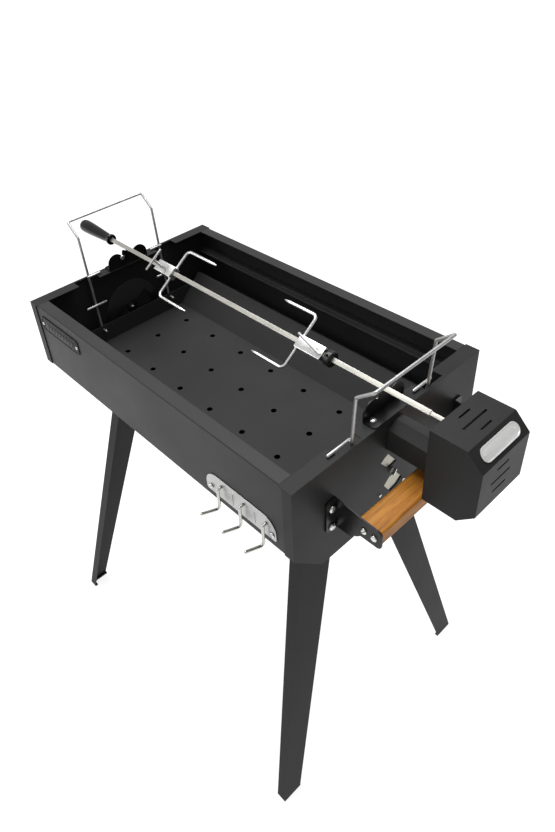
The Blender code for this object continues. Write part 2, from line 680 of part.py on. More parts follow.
def switch_frame():
    """Snap-in bezel of the rocker switch, in the cover's back wall."""
    wall = MOTOR_COVER_HALF_Y
    lip = block((SWITCH_X[0] - 0.002, SWITCH_X[1] + 0.002), (wall + GAP, wall + 0.002),
                (SWITCH_Z[0] - 0.002, SWITCH_Z[1] + 0.002))
    barrel = block((SWITCH_X[0] + GAP, SWITCH_X[1] - GAP), (wall - 0.012, wall + 0.001),
                   (SWITCH_Z[0] + GAP, SWITCH_Z[1] - GAP))
    well = block((SWITCH_X[0] + 0.002, SWITCH_X[1] - 0.002), (wall - 0.010, wall + 0.01),
                 (SWITCH_Z[0] + 0.002, SWITCH_Z[1] - 0.002))
    return cut(join(lip, barrel), well)


def switch_rocker():
    """Rocker about an axis along X, built round its pivot."""
    half_length = (SWITCH_Z[1] - SWITCH_Z[0]) / 2 - 0.0032
    half_width = (SWITCH_X[1] - SWITCH_X[0]) / 2 - 0.0024
    outline = [(-0.0035, -0.003), (-0.0035, 0.003), (0.0034, half_length), (0.0052, half_length - 0.0008),
               (0.0036, 0), (0.0052, -half_length + 0.0008), (0.0034, -half_length)]
    return prism(outline, "x", -half_width, half_width)


def cord_inlet():
    """Bush in the cover's back wall for the mains lead."""
    wall = MOTOR_COVER_HALF_Y
    return turned([(wall - 0.006, 0.0045), (wall - 0.006, INLET_RADIUS), (wall + GAP, INLET_RADIUS),
                   (wall + GAP, 0.0095), (wall + 0.003, 0.0085), (wall + 0.007, 0.0065),
                   (wall + 0.007, 0.0045)], "y", INLET_XZ, 16)


def motor_bracket():
    """Channel from the end panel to the motor plate, with its front edge folded over as a lid."""
    path = [(0.0150, -0.0065), (0.0, -0.0065), (-0.017, -0.018), (-0.017, -0.056),
            (0.017, -0.056), (0.017, -0.014)]
    channel = folded(path, -SHEET, "x", HALF_LENGTH + GAP, MOTOR_COVER_X[0] + 0.0008)
    flange = block((HALF_LENGTH + GAP, HALF_LENGTH + GAP + SHEET), (-0.017, 0.017), (-0.058, -0.030))
    return join(channel, flange)


def motor_plate():
    """Plate that closes the cover and carries the gearbox."""
    x_range = (MOTOR_COVER_X[0] + 0.001, MOTOR_COVER_X[0] + 0.003)
    inner = MOTOR_COVER_HALF_Y - COVER_WALL - GAP
    plate = block(x_range, (-inner, inner),
                  (MOTOR_COVER_BOTTOM + COVER_WALL + GAP, MOTOR_COVER_TOP - COVER_WALL - GAP))
    return cut(plate, rod((0, SPIT_Z), 0.0105, "x", x_range[0] - 0.01, x_range[1] + 0.01, 20))


def gearbox_housing():
    """Gearbox with a through bore for the drive socket."""
    outline = rounded_rectangle((-0.034, 0.034), (-0.022, 0.056), 0.006, 3)
    housing = prism(outline, "x", *GEARBOX_X)
    bore = rod((0, SPIT_Z), 0.0095, "x", GEARBOX_X[0] - 0.01, GEARBOX_X[1] + 0.01, 20)
    return cut(housing, bore)


def motor_can():
    """Round motor body behind the gearbox, below the drive socket."""
    start = GEARBOX_X[1] + GAP
    return turned([(start, 0), (start, 0.019), (start + 0.020, 0.019), (start + 0.022, 0.017),
                   (start + 0.022, 0.005), (start + 0.025, 0.005), (start + 0.025, 0)],
                  "x", (0, 0.002), 24)


def drive_socket():
    """Output sleeve of the gearbox with a square hole for the tip of the spit."""
    sleeve = turned([(SOCKET_X[0], 0.0005), (SOCKET_X[0], 0.0092), (SOCKET_X[1], 0.0092),
                     (SOCKET_X[1], 0.0070), (GEARBOX_X[1] - 0.002, 0.0070), (GEARBOX_X[1] - 0.002, 0.0005)],
                    "x", (0, 0), 20)
    return cut(sleeve, square_bar(TIP_HALF + GAP, SOCKET_X[0] - 0.01, ROD_END_X + 0.002))


def badge_plate():
    """Blank pill-shaped plate on the upper chamfer of the cover."""
    straight = BADGE_HALF_LONG - BADGE_HALF_WIDE
    outline = arc((0, straight), BADGE_HALF_WIDE, 0, 180, 10)
    outline += arc((0, -straight), BADGE_HALF_WIDE, 180, 360, 10)
    plate = prism(outline, "z", 0, BADGE_SHEET)
    half_cut = MOTOR_CHAMFER_TOP / 2
    middle = Vector((MOTOR_COVER_X[1] - half_cut, 0.0, MOTOR_COVER_TOP - half_cut))
    tilt = Matrix.Rotation(math.radians(45), 4, "Y")
    lift = tilt @ Vector((0, 0, GAP))
    return moved(plate, Matrix.Translation(middle + lift) @ tilt)


# ---- carrying handle --------------------------------------------------------------------------------
def handle_bracket():
    """Front bracket: foot on the end panel and an arm that carries the bar's end."""
    y_arm = HANDLE_Y[0]
    foot_outline = rounded_rectangle((y_arm - 0.0205, y_arm - 0.0005), (-0.130, -0.067), 0.005, 3)
    foot = prism(foot_outline, "x", HALF_LENGTH + GAP, HALF_LENGTH + GAP + BRACKET_SHEET)
    web = block((HALF_LENGTH + GAP, HALF_LENGTH + GAP + BRACKET_SHEET), (y_arm - 0.006, y_arm - GAP),
                (-0.1245, -0.067))
    x_start = HALF_LENGTH + GAP + 0.0002
    arm_outline = [(x_start, -0.067), (0.372, -0.069), (0.398, -0.0725)]
    arm_outline += arc((0.4275, -0.0825), 0.0085, 90, 0, 4)
    arm_outline += arc((0.4275, -0.1005), 0.0085, 0, -90, 4)
    arm_outline += [(0.400, -0.109)]
    arm_outline += [(0.391, -0.1175)]
    arm_outline += arc((0.380, -0.1175), 0.008, 0, -90, 3)
    arm_outline += [(x_start, -0.1255)]
    arm = prism(arm_outline, "y", y_arm - BRACKET_SHEET, y_arm - GAP)
    bracket = join(foot, web, arm)
    holes = []
    for z_value in HANDLE_BOLT_Z:
        holes.append(rod((HANDLE_BOLT_Y[0], z_value), HANDLE_BOLT_RADIUS + GAP, "x",
                         HALF_LENGTH - 0.01, HALF_LENGTH + 0.01, 12))
    return cut(bracket, *holes)


def handle_bolt():
    """Pan-head bolt through the panel, head outside, hexagon nut inside."""
    outer = HALF_LENGTH + 2 * GAP + BRACKET_SHEET
    inner = HALF_LENGTH - SHEET - GAP
    bolt = turned([(inner - 0.008, 0), (inner - 0.008, HANDLE_BOLT_RADIUS), (outer, HANDLE_BOLT_RADIUS),
                   (outer, 0.0060), (outer + 0.0020, 0.0056), (outer + 0.0036, 0.0034),
                   (outer + 0.0036, 0)], "x", (0, 0), 12)
    nut = rod((0, 0), 0.0058, "x", inner - 0.005, inner, 6)
    return join(bolt, nut)


def handle_bar():
    """Wooden bar between the brackets, with eased edges."""
    outline = rounded_rectangle(HANDLE_BAR_X, HANDLE_BAR_Z, 0.004, 3)
    return prism(outline, "y", HANDLE_Y[0], HANDLE_Y[1])


# ---- front plates and hooks -----------------------------------------------------------------------
def hook_plate():
    """Pressed stainless plate with rounded upper corners and holes for the three hooks."""
    low, high = HOOK_PLATE_Z
    left, right = HOOK_PLATE_X
    corner = HOOK_PLATE_CORNER
    outline = [(left, low + 0.004), (left + 0.004, low), (right - 0.004, low), (right, low + 0.004)]
    outline += arc((right - corner, high - corner), corner, 0, 90, 6)
    outline += arc((left + corner, high - corner), corner, 90, 180, 6)
    plate = prism(outline, "y", PLATE_FACE_Y - HOOK_PLATE_SHEET, PLATE_FACE_Y)
    holes = []
    for x_value in HOOK_X:
        holes.append(rod((x_value, HOOK_ROOT_Z), HOOK_WIRE + GAP, "y", PLATE_FACE_Y - 0.01,
                         PLATE_FACE_Y + 0.01, 12))
    return cut(plate, *holes)


def utensil_hook(x_value):
    """Wire hook: out of the plate, down, then outwards and upwards to its tip."""
    face = PLATE_FACE_Y - 0.0002
    corners = [(x_value, face, HOOK_ROOT_Z), (x_value, HOOK_HEEL[0] + 0.001, HOOK_ROOT_Z),
               (x_value, *HOOK_HEEL), (x_value, *HOOK_TIP)]
    return wire(smooth_route(corners, 0.005, 3), HOOK_WIRE, 8)


def name_plate():
    """Blank plate with a raised border at the front left."""
    outline = rounded_rectangle(NAME_PLATE_X, NAME_PLATE_Z, 0.006, 3)
    base = prism(outline, "y", PLATE_FACE_Y - 0.0010, PLATE_FACE_Y)
    inner_x = (NAME_PLATE_X[0] + 0.014, NAME_PLATE_X[1] - 0.014)
    inner_z = (NAME_PLATE_Z[0] + 0.004, NAME_PLATE_Z[1] - 0.004)
    boss = prism(rounded_rectangle(inner_x, inner_z, 0.004, 3), "y", PLATE_FACE_Y - 0.0017,
                 PLATE_FACE_Y - 0.0005)
    return join(base, boss)


# ---- legs -----------------------------------------------------------------------------------------
def leg():
    """Back right leg: tapered angle that splays both ways, with a tab under the body."""
    top_z = -BODY_DEPTH - GAP
    foot_z = -RIM_HEIGHT + FOOT_PAD + GAP
    solid = bmesh.new()
    rings = []
    for z_value, (x_value, y_value), width, flange in ((top_z, LEG_TOP, LEG_TOP_WIDTH, LEG_TOP_FLANGE),
                                                       (foot_z, LEG_FOOT, LEG_FOOT_WIDTH, LEG_FOOT_FLANGE)):
        outline = [(x_value, y_value), (x_value, y_value - width), (x_value - LEG_SHEET, y_value - width),
                   (x_value - LEG_SHEET, y_value - LEG_SHEET), (x_value - flange, y_value - LEG_SHEET),
                   (x_value - flange, y_value)]
        rings.append([solid.verts.new((*corner, z_value)) for corner in outline])
    solid.faces.new(rings[0])
    solid.faces.new(rings[1])
    for index in range(6):
        after = (index + 1) % 6
        solid.faces.new((rings[0][index], rings[0][after], rings[1][after], rings[1][index]))
    angle = to_mesh(solid)
    tab = block((LEG_TOP[0] - LEG_TAB, LEG_TOP[0] - 0.0005),
                (LEG_TOP[1] - LEG_TOP_WIDTH + 0.002, LEG_TOP[1] - 0.0005),
                (top_z - LEG_SHEET, top_z - 0.0001))
    return join(angle, tab)


def foot_pad():
    """Plastic pad under the back right leg."""
    top = -RIM_HEIGHT + FOOT_PAD
    x_value, y_value = LEG_FOOT
    outline = [(x_value + 0.0003, y_value + 0.0003), (x_value + 0.0003, y_value - LEG_FOOT_WIDTH - 0.0003),
               (x_value - 0.007, y_value - LEG_FOOT_WIDTH - 0.0003), (x_value - 0.007, y_value - 0.007),
               (x_value - LEG_FOOT_FLANGE - 0.0003, y_value - 0.007),
               (x_value - LEG_FOOT_FLANGE - 0.0003, y_value + 0.0003)]
    return prism(outline, "z", -RIM_HEIGHT, top)


# ---- assembly ---------------------------------------------------------------------------------------
def build():
    clear_scene()
    coat = make_material("black_powder_coat", (0.045, 0.045, 0.048), 0.55, 0.0)
    steel = make_material("stainless", (0.62, 0.61, 0.58), 0.28, 1.0)
    chrome = make_material("bright_wire", (0.80, 0.80, 0.79), 0.18, 1.0)
    plastic = make_material("black_plastic", (0.02, 0.02, 0.02), 0.35, 0.0)
    wood = make_material("oiled_wood", (0.45, 0.22, 0.07), 0.5, 0.0)
    grey = make_material("grey_plastic", (0.18, 0.18, 0.19), 0.5, 0.0)

    root = make_empty("roaster", (BODY_X, 0, RIM_HEIGHT))

    front = long_panel()
    make_part("front_panel", front, coat, root)
    make_part("back_panel", mirrored(front, "y"), coat, root)
    end_plate = end_panel()
    make_part("right_end_panel", add_handle_holes(end_plate.copy()), coat, root)
    make_part("left_end_panel", mirrored(end_plate, "x"), coat, root)
    make_part("bottom_pan", bottom_pan(), coat, root)
    ledge = ledge_rail()
    make_part("front_ledge_rail", ledge, coat, root)
    make_part("back_ledge_rail", mirrored(ledge, "y"), coat, root)

    disc = vent_disc()
    knob = vent_knob()
    for end, name in ((1, "right"), (-1, "left")):
        pivot = make_empty(f"{name}_vent_axis", (end * HALF_LENGTH, 0, VENT_Z), parent=root)
        for piece, piece_name, finish in ((disc, "disc", steel), (knob, "knob", steel)):
            shape = piece.copy() if end > 0 else mirrored(piece, "x")
            moved(shape, Matrix.Translation((-end * HALF_LENGTH, 0, -VENT_Z)))
            make_part(f"{name}_vent_{piece_name}", shape, finish, pivot, smooth=True)

    make_part("charcoal_tray", charcoal_tray(), coat, root)
    for end, name in ((1, "right"), (-1, "left")):
        pivot = (end * TRAY_HALF_LENGTH, 0, BAIL_PIVOT_Z)
        shape = lift_bail(BAIL_UPPER_BARS[name])
        if end < 0:
            shape = mirrored(shape, "x")
        moved(shape, Matrix.Translation([-value for value in pivot]))
        make_part(f"{name}_lift_bail", shape, chrome, root, pivot, smooth=True)

    support = spit_support()
    bolt = support_bolt()
    for end, name in ((1, "right"), (-1, "left")):
        shape = support if end > 0 else mirrored(support, "x")
        make_part(f"{name}_spit_support", shape, coat, root)
        for side, side_name in ((-1, "front"), (1, "back")):
            place = (end * SUPPORT_BOLT_X, side * SUPPORT_BOLT_Y, 0)
            make_part(f"{name}_support_bolt_{side_name}", bolt.copy(), steel, root, place, smooth=True)

    spit = make_empty("spit_axis", (0, 0, SPIT_Z), (math.radians(SPIT_TURN), 0, 0), root)
    make_part("spit_rod", spit_rod(), chrome, spit)
    make_part("spit_grip", spit_grip(), plastic, spit, smooth=True)
    for name, fork in FORKS.items():
        tines = meat_fork(fork["bar_x"], fork["tip_x"], fork["block_x"], fork["screw_x"])
        make_part(f"{name}_fork", tines, chrome, spit, smooth=True)
        screw = thumb_screw(fork["screw_bar"], fork["screw_turn"])
        make_part(f"{name}_fork_screw", screw, chrome, spit, (fork["screw_x"], 0, 0), smooth=True)
    make_part("spit_collar", stop_collar(COLLAR_X), plastic, spit, smooth=True)
    make_part("drive_socket", drive_socket(), steel, spit, smooth=True)

    make_part("motor_bracket", motor_bracket(), coat, root)
    make_part("motor_plate", motor_plate(), steel, root)
    make_part("gearbox_housing", gearbox_housing(), grey, root)
    make_part("motor_can", motor_can(), steel, root, smooth=True)
    make_part("motor_cover", motor_cover(), coat, root)
    make_part("badge_plate", badge_plate(), steel, root)
    make_part("switch_frame", switch_frame(), plastic, root)
    rocker_pivot = (sum(SWITCH_X) / 2, MOTOR_COVER_HALF_Y + 0.0005, sum(SWITCH_Z) / 2)
    make_part("power_switch", switch_rocker(), plastic, root, rocker_pivot,
              rotation=(math.radians(-SWITCH_THROW / 2), 0, 0))
    make_part("cord_inlet", cord_inlet(), plastic, root, smooth=True)

    bracket = handle_bracket()
    centre_y = (HANDLE_Y[0] + HANDLE_Y[1]) / 2
    to_back = Matrix.Translation((0, 2 * centre_y, 0))
    make_part("front_handle_bracket", bracket, coat, root)
    make_part("back_handle_bracket", moved(mirrored(bracket, "y"), to_back), coat, root)
    handle_bolt_mesh = handle_bolt()
    for y_value, side_name in zip(HANDLE_BOLT_Y, ("front", "back")):
        for z_value, level in zip(HANDLE_BOLT_Z, ("upper", "lower")):
            make_part(f"{side_name}_handle_bolt_{level}", handle_bolt_mesh.copy(), steel, root,
                      (0, y_value, z_value))
    make_part("handle_bar", handle_bar(), wood, root)

    make_part("hook_plate", hook_plate(), steel, root)
    for x_value, name in zip(HOOK_X, ("left", "middle", "right")):
        make_part(f"{name}_utensil_hook", utensil_hook(x_value), chrome, root, smooth=True)
    make_part("name_plate", name_plate(), coat, root)

    leg_mesh = leg()
    pad_mesh = foot_pad()
    for along, along_name in ((1, "right"), (-1, "left")):
        for across, across_name in ((1, "back"), (-1, "front")):
            for mesh, name, finish in ((leg_mesh, "leg", coat), (pad_mesh, "foot_pad", plastic)):
                shape = mesh.copy()
                moved(shape, Matrix.Diagonal((along, across, 1, 1)))
                make_part(f"{along_name}_{across_name}_{name}", shape, finish, root)


build()
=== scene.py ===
"""Looks of the rotisserie spit roaster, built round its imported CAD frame.

Lengths are in metres in the frame's own axes: X along the spit towards the motor, -Y the front,
Z up from the floor. Pieces take their places from the CAD nodes that they dress or replace.
"""
import json
import math

import bmesh
import bpy
from mathutils import Matrix, Vector


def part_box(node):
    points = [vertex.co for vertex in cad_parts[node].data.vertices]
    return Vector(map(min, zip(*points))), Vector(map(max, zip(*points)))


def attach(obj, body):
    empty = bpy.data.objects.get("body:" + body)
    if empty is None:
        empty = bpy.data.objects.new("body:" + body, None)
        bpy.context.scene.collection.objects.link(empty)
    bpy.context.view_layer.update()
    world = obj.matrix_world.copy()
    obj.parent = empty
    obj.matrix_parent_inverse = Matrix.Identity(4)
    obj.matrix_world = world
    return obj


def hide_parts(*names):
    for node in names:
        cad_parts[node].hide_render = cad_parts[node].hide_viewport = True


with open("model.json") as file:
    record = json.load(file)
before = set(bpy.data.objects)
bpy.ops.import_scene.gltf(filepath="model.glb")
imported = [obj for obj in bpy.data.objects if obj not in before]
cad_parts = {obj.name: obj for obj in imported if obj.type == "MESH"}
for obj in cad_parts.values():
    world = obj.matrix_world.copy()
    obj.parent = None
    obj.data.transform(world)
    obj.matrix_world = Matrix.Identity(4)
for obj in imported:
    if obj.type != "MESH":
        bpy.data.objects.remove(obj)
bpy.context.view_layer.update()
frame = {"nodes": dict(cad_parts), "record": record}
nodes = frame["nodes"]
scene = bpy.context.scene

# ---- places worked out from the frame ------------------------------------------------------------
TROUGH_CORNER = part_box("right_end_panel")[1]
RIM_Z = TROUGH_CORNER.z
MIDDLE_X = (TROUGH_CORNER.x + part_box("left_end_panel")[0].x) / 2
SOCKET_LOW, SOCKET_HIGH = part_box("drive_socket")
SPIT_Z = (SOCKET_LOW.z + SOCKET_HIGH.z) / 2
SPIT_TURN = math.radians(36)         # the square rod stands turned by this much at rest
BODY = Matrix.Translation((MIDDLE_X, 0, RIM_Z))
SPIT_FRAME = Matrix.Translation((MIDDLE_X, 0, SPIT_Z)) @ Matrix.Rotation(SPIT_TURN, 4, "X")

# ---- sizes repeated from the CAD, in the body's frame: rim at zero, X from the trough's middle ---
WIRE_SIDES = 18                      # facets round every bent wire

BAIL_WIRE = 0.0026                   # every wire size is a radius
BAIL_Y = 0.087
BAIL_PIVOT_Z = -0.119
BAIL_HOOK_X = (0.3165, 0.3343)       # start of the hook inside the tray, and the wire outside it
BAIL_RIM_X = 0.3421
BAIL_KNEE_Z = 0.084
BAIL_TOP = (0.3775, 0.1088)          # X and Z of the crossbar
BAIL_BEND = 0.0045
REST_BARS = {                        # ends along Y of the upper bars, from the front and back legs
    "right": ((-0.046, 0.003), (-0.032, 0.014)),
    "left": ((-0.004, 0.026), (-0.026, 0.004)),
}
UPPER_BAR_Z = 0.0031
LOWER_BAR_Z = -0.062
LOWER_BAR_HALF = 0.024
BAR_BITE = 0.0007                    # how far the rest bars sink into the legs at the weld
BAR_BEAD = [(-0.0016, 0.0005), (-0.0010, 0.0013), (0, 0.0017), (0.0010, 0.0013), (0.0016, 0.0005)]

FORKS = {
    "left": {"bar_x": -0.169, "tip_x": -0.088, "block_x": (-0.214, -0.166), "screw_x": -0.200,
             "screw_bar": 0.048, "screw_turn": 0},
    "right": {"bar_x": 0.160, "tip_x": 0.086, "block_x": (0.158, 0.212), "screw_x": 0.198,
              "screw_bar": 0.058, "screw_turn": 76},
}
FORK_WIRE = 0.0027
FORK_HALF_SPAN = 0.050               # from the rod's axis to each tine
FORK_BEND = 0.009
BLOCK_HALF = (0.011, 0.008)
BLOCK_CORNER = 0.0014
BLOCK_EDGE = 0.0007
BORE_CORNER = 0.0004
ROD_BORE = 0.0043                    # half the side of the square bore
CLAMP_HOLE = 0.0027
SCREW_TOP = 0.032
SCREW_WIRE = 0.0022
THREAD_START = 0.0056
THREAD_PITCH = 0.0010
THREAD_RADII = (0.0020, 0.0024)
# along a tine from its tip, and along its weld from the block: share of the wire's radius
TINE_GRIND = [(0, 0.08), (0.0006, 0.30), (0.006, 0.70), (0.011, 0.94), (0.015, 1.0)]
TINE_WELD = [(-0.001, 1.55), (0.0006, 1.45), (0.0022, 1.02)]
TINE_BITE = 0.001                    # how far a tine is let into its block

HOOK_X = (0.198, 0.247, 0.296)
HOOK_WIRE = 0.0025
HOOK_FACE_Y = -0.2114
HOOK_ROOT_Z = -0.099
HOOK_HEEL = (-0.2205, -0.141)        # Y and Z of the lowest bend and of the tip
HOOK_TIP = (-0.2565, -0.124)
HOOK_BEND = 0.005

BOLT_HEAD = 0.0036                   # height of a bolt's head above its seat
SUPPORT_BOLT = {"radius": 0.0052, "tail": 0.0042, "nut_radius": 0.0044, "shank": 0.0025}
HANDLE_BOLT = {"radius": 0.0060, "tail": 0.0080, "nut_radius": 0.0058, "shank": 0.0030}
NUT_HEIGHT = 0.0034

COLLAR_X = 0.224
GRUB_HOLE = 0.002

PLATE_EDGE = 0.0004
HOOK_PLATE_CORNERS = (0.026, 0.004)  # upper and lower corner radius
HOOK_HOLE = 0.0028
RIB_X = (0.2215, 0.2700)             # pressed ribs between the hooks
RIB_HALF = (0.0016, 0.0115)
RIB_CORNER = 0.0014
RIB_LEVELS = (0.0008, 0.0021)        # from inside the plate to the rib's crest
RIB_EDGE = 0.0006
RIB_DROP = 0.004                     # below the plate's middle
NAME_CORNER = 0.0075
NAME_BORDER = 0.0020
LOZENGES = 9
LOZENGE_PITCH = 0.0105
BADGE_HALF = (0.0410, 0.0105)
BADGE_BORDER = 0.0013
BADGE_RIVET_Y = 0.0335

# ---- camera and light ----------------------------------------------------------------------------
CAMERA_PLACE = (0.76983, -0.62301, 1.49627)
CAMERA_ANGLES = (53.107, 3.838, 47.562)
LENS = 29.79
SENSOR = 36
SHIFT = (0.0335, -0.0674)

FLOOR_HALF = 30.0
FLOOR_GREY = 0.30
FLOOR_GLOW = 0.86
FLOOR_ROUGHNESS = 0.9
SKY_BRIGHT_WAY = (-0.45, -0.35, 0.82)
SKY_RANGE = (-0.5, 0.9)              # away from and towards the bright side of the sky
SKY_LEVELS = (0.26, 0.62)
LIGHT_TARGET_Z = 0.7
LIGHTS = {                           # place, size and watts
    "overhead": ((-0.5, 0.35, 2.9), (2.0, 1.8), 84),
    "front_left": ((-1.7, -2.3, 1.9), (1.3, 1.3), 20),
}


def add_camera():
    data = bpy.data.cameras.new("camera")
    data.lens = LENS
    data.sensor_width = SENSOR
    data.shift_x, data.shift_y = SHIFT
    data.clip_start = 0.05
    camera = bpy.data.objects.new("camera", data)
    camera.location = CAMERA_PLACE
    camera.rotation_euler = [math.radians(angle) for angle in CAMERA_ANGLES]
    scene.collection.objects.link(camera)
    scene.camera = camera


def add_light(name, place, size, watts):
    """Softbox aimed at the middle of the roaster."""
    data = bpy.data.lights.new(name, "AREA")
    data.shape = "RECTANGLE"
    data.size, data.size_y = size
    data.energy = watts
    light = bpy.data.objects.new(name, data)
    light.location = place
    aim = Vector((MIDDLE_X, 0, LIGHT_TARGET_Z)) - Vector(place)
    light.rotation_euler = aim.to_track_quat("-Z", "Y").to_euler()
    scene.collection.objects.link(light)


def add_sky():
    """White sky, brighter towards one side."""
    world = bpy.data.worlds.new("studio")
    world.use_nodes = True
    tree = world.node_tree
    background = tree.nodes["Background"]
    background.inputs["Color"].default_value = (1, 1, 1, 1)
    place = tree.nodes.new("ShaderNodeTexCoord")
    toward = tree.nodes.new("ShaderNodeVectorMath")
    toward.operation = "DOT_PRODUCT"
    toward.inputs[1].default_value = SKY_BRIGHT_WAY
    tree.links.new(place.outputs["Generated"], toward.inputs[0])
    level = tree.nodes.new("ShaderNodeMapRange")
    for socket, value in zip(("From Min", "From Max", "To Min", "To Max"), SKY_RANGE + SKY_LEVELS):
        level.inputs[socket].default_value = value
    tree.links.new(toward.outputs["Value"], level.inputs["Value"])
    tree.links.new(level.outputs["Result"], background.inputs["Strength"])
    scene.world = world


def add_floor():
    mesh = bpy.data.meshes.new("floor")
    corners = ((-1, -1), (1, -1), (1, 1), (-1, 1))
    mesh.from_pydata([(x * FLOOR_HALF, y * FLOOR_HALF, 0) for x, y in corners], [], [(0, 1, 2, 3)])
    floor = bpy.data.objects.new("floor", mesh)
    scene.collection.objects.link(floor)
    material, shader, _ = new_material("floor_white")
    shader.inputs["Base Color"].default_value = (FLOOR_GREY, FLOOR_GREY, FLOOR_GREY, 1)
    shader.inputs["Roughness"].default_value = FLOOR_ROUGHNESS
    shader.inputs["Emission Color"].default_value = (1, 1, 1, 1)
    shader.inputs["Emission Strength"].default_value = FLOOR_GLOW
    mesh.materials.append(material)


def add_surroundings():
    scene.view_settings.view_transform = "Standard"
    add_sky()
    add_floor()
    for name, (place, size, watts) in LIGHTS.items():
        add_light(name, place, size, watts)


# ---- materials -----------------------------------------------------------------------------------
def new_material(name):
    material = bpy.data.materials.new(name)
    material.use_nodes = True
    tree = material.node_tree
    return material, tree.nodes["Principled BSDF"], tree


def object_coordinates(tree, scale=(1, 1, 1)):
    source = tree.nodes.new("ShaderNodeTexCoord")
    mapping = tree.nodes.new("ShaderNodeMapping")
    mapping.inputs["Scale"].default_value = scale
    tree.links.new(source.outputs["Object"], mapping.inputs["Vector"])
    return mapping.outputs["Vector"]


def noise(tree, vector, scale, detail=3.0, roughness=0.5):
    node = tree.nodes.new("ShaderNodeTexNoise")
    node.inputs["Scale"].default_value = scale
    node.inputs["Detail"].default_value = detail
    node.inputs["Roughness"].default_value = roughness
    tree.links.new(vector, node.inputs["Vector"])
    return node.outputs["Fac"]


def ramp(tree, factor, stops):
    """Colour ramp from (position, colour) stops, where a colour is a grey value or three values."""
    node = tree.nodes.new("ShaderNodeValToRGB")
    elements = node.color_ramp.elements
    while len(elements) < len(stops):
        elements.new(0.5)
    for element, (position, colour) in zip(elements, stops):
        element.position = position
        values = colour if isinstance(colour, tuple) else (colour,) * 3
        element.color = (*values, 1)
    tree.links.new(factor, node.inputs["Fac"])
    return node.outputs["Color"]


def mix(tree, factor, first, second):
    node = tree.nodes.new("ShaderNodeMix")
    node.data_type = "RGBA"
    for socket, value in ((node.inputs["Factor"], factor), (node.inputs["A"], first),
                          (node.inputs["B"], second)):
        if isinstance(value, (int, float, tuple)):
            socket.default_value = value
        else:
            tree.links.new(value, socket)
    return node.outputs["Result"]


def bump(tree, shader, height, distance, strength=1.0):
    node = tree.nodes.new("ShaderNodeBump")
    node.inputs["Distance"].default_value = distance
    node.inputs["Strength"].default_value = strength
    tree.links.new(height, node.inputs["Height"])
    tree.links.new(node.outputs["Normal"], shader.inputs["Normal"])


def powder_coat(name, dark, light, roughness=(0.38, 0.50), specular=0.15):
    """Fine-textured baked paint: orange-peel bumps, faint dust and handling marks."""
    material, shader, tree = new_material(name)
    place = object_coordinates(tree)
    cloud = noise(tree, place, 9.0, 4.0)
    grain = noise(tree, place, 900.0, 2.0)
    speckle = noise(tree, place, 2600.0, 1.0)
    base = ramp(tree, cloud, [(0.30, dark), (0.70, light)])
    dusty = mix(tree, 0.35, base, ramp(tree, speckle, [(0.35, dark), (0.75, light)]))
    tree.links.new(dusty, shader.inputs["Base Color"])
    rough = ramp(tree, cloud, [(0.25, roughness[0]), (0.75, roughness[1])])
    tree.links.new(rough, shader.inputs["Roughness"])
    shader.inputs["Specular IOR Level"].default_value = specular
    bump(tree, shader, grain, 0.00018, 0.55)
    return material


def bright_metal(name, colour, roughness, brush=(1, 1, 1), brush_scale=400.0, depth=0.00004,
                 metallic=1.0):
    """Steel with fine drawn or brushed lines and slightly uneven polish."""
    material, shader, tree = new_material(name)
    shader.inputs["Metallic"].default_value = metallic
    lines = noise(tree, object_coordinates(tree, brush), brush_scale, 3.0, 0.6)
    cloud = noise(tree, object_coordinates(tree), 30.0, 3.0)
    darker = tuple(value * 0.80 for value in colour)
    tint = ramp(tree, lines, [(0.30, darker), (0.70, colour)])
    tree.links.new(tint, shader.inputs["Base Color"])
    tree.links.new(ramp(tree, cloud, [(0.2, roughness[0]), (0.8, roughness[1])]),
                   shader.inputs["Roughness"])
    bump(tree, shader, lines, depth, 0.5)
    return material


def moulded_plastic(name, colour, roughness):
    """Black or grey plastic with a faint grain."""
    material, shader, tree = new_material(name)
    place = object_coordinates(tree)
    cloud = noise(tree, place, 40.0, 3.0)
    lighter = tuple(value * 1.5 + 0.004 for value in colour)
    tree.links.new(ramp(tree, cloud, [(0.3, colour), (0.8, lighter)]), shader.inputs["Base Color"])
    tree.links.new(ramp(tree, cloud, [(0.2, roughness[0]), (0.8, roughness[1])]),
                   shader.inputs["Roughness"])
    shader.inputs["Specular IOR Level"].default_value = 0.3
    bump(tree, shader, noise(tree, place, 1500.0, 2.0), 0.00006, 0.4)
    return material


def oiled_wood(name):
    """Straight honey-brown grain along Y, with darker pores and growth bands."""
    material, shader, tree = new_material(name)
    long_grain = object_coordinates(tree, (1.0, 0.06, 1.0))
    bands = noise(tree, long_grain, 140.0, 4.0, 0.6)
    pores = noise(tree, object_coordinates(tree, (1.0, 0.035, 1.0)), 900.0, 2.0, 0.7)
    cloud = noise(tree, object_coordinates(tree, (1.0, 0.3, 1.0)), 18.0, 3.0)
    base = ramp(tree, bands, [(0.30, (0.15, 0.048, 0.006)), (0.46, (0.33, 0.132, 0.016)),
                              (0.68, (0.47, 0.205, 0.030))])
    toned = mix(tree, ramp(tree, cloud, [(0.35, 0.0), (0.75, 0.45)]), base,
                (0.29, 0.095, 0.010, 1))
    pored = mix(tree, ramp(tree, pores, [(0.56, 0.0), (0.70, 0.55)]), toned,
                (0.13, 0.042, 0.005, 1))
    tree.links.new(pored, shader.inputs["Base Color"])
    tree.links.new(ramp(tree, bands, [(0.2, 0.50), (0.8, 0.36)]), shader.inputs["Roughness"])
    shader.inputs["Specular IOR Level"].default_value = 0.15
    bump(tree, shader, pores, 0.00012, 0.5)
    return material


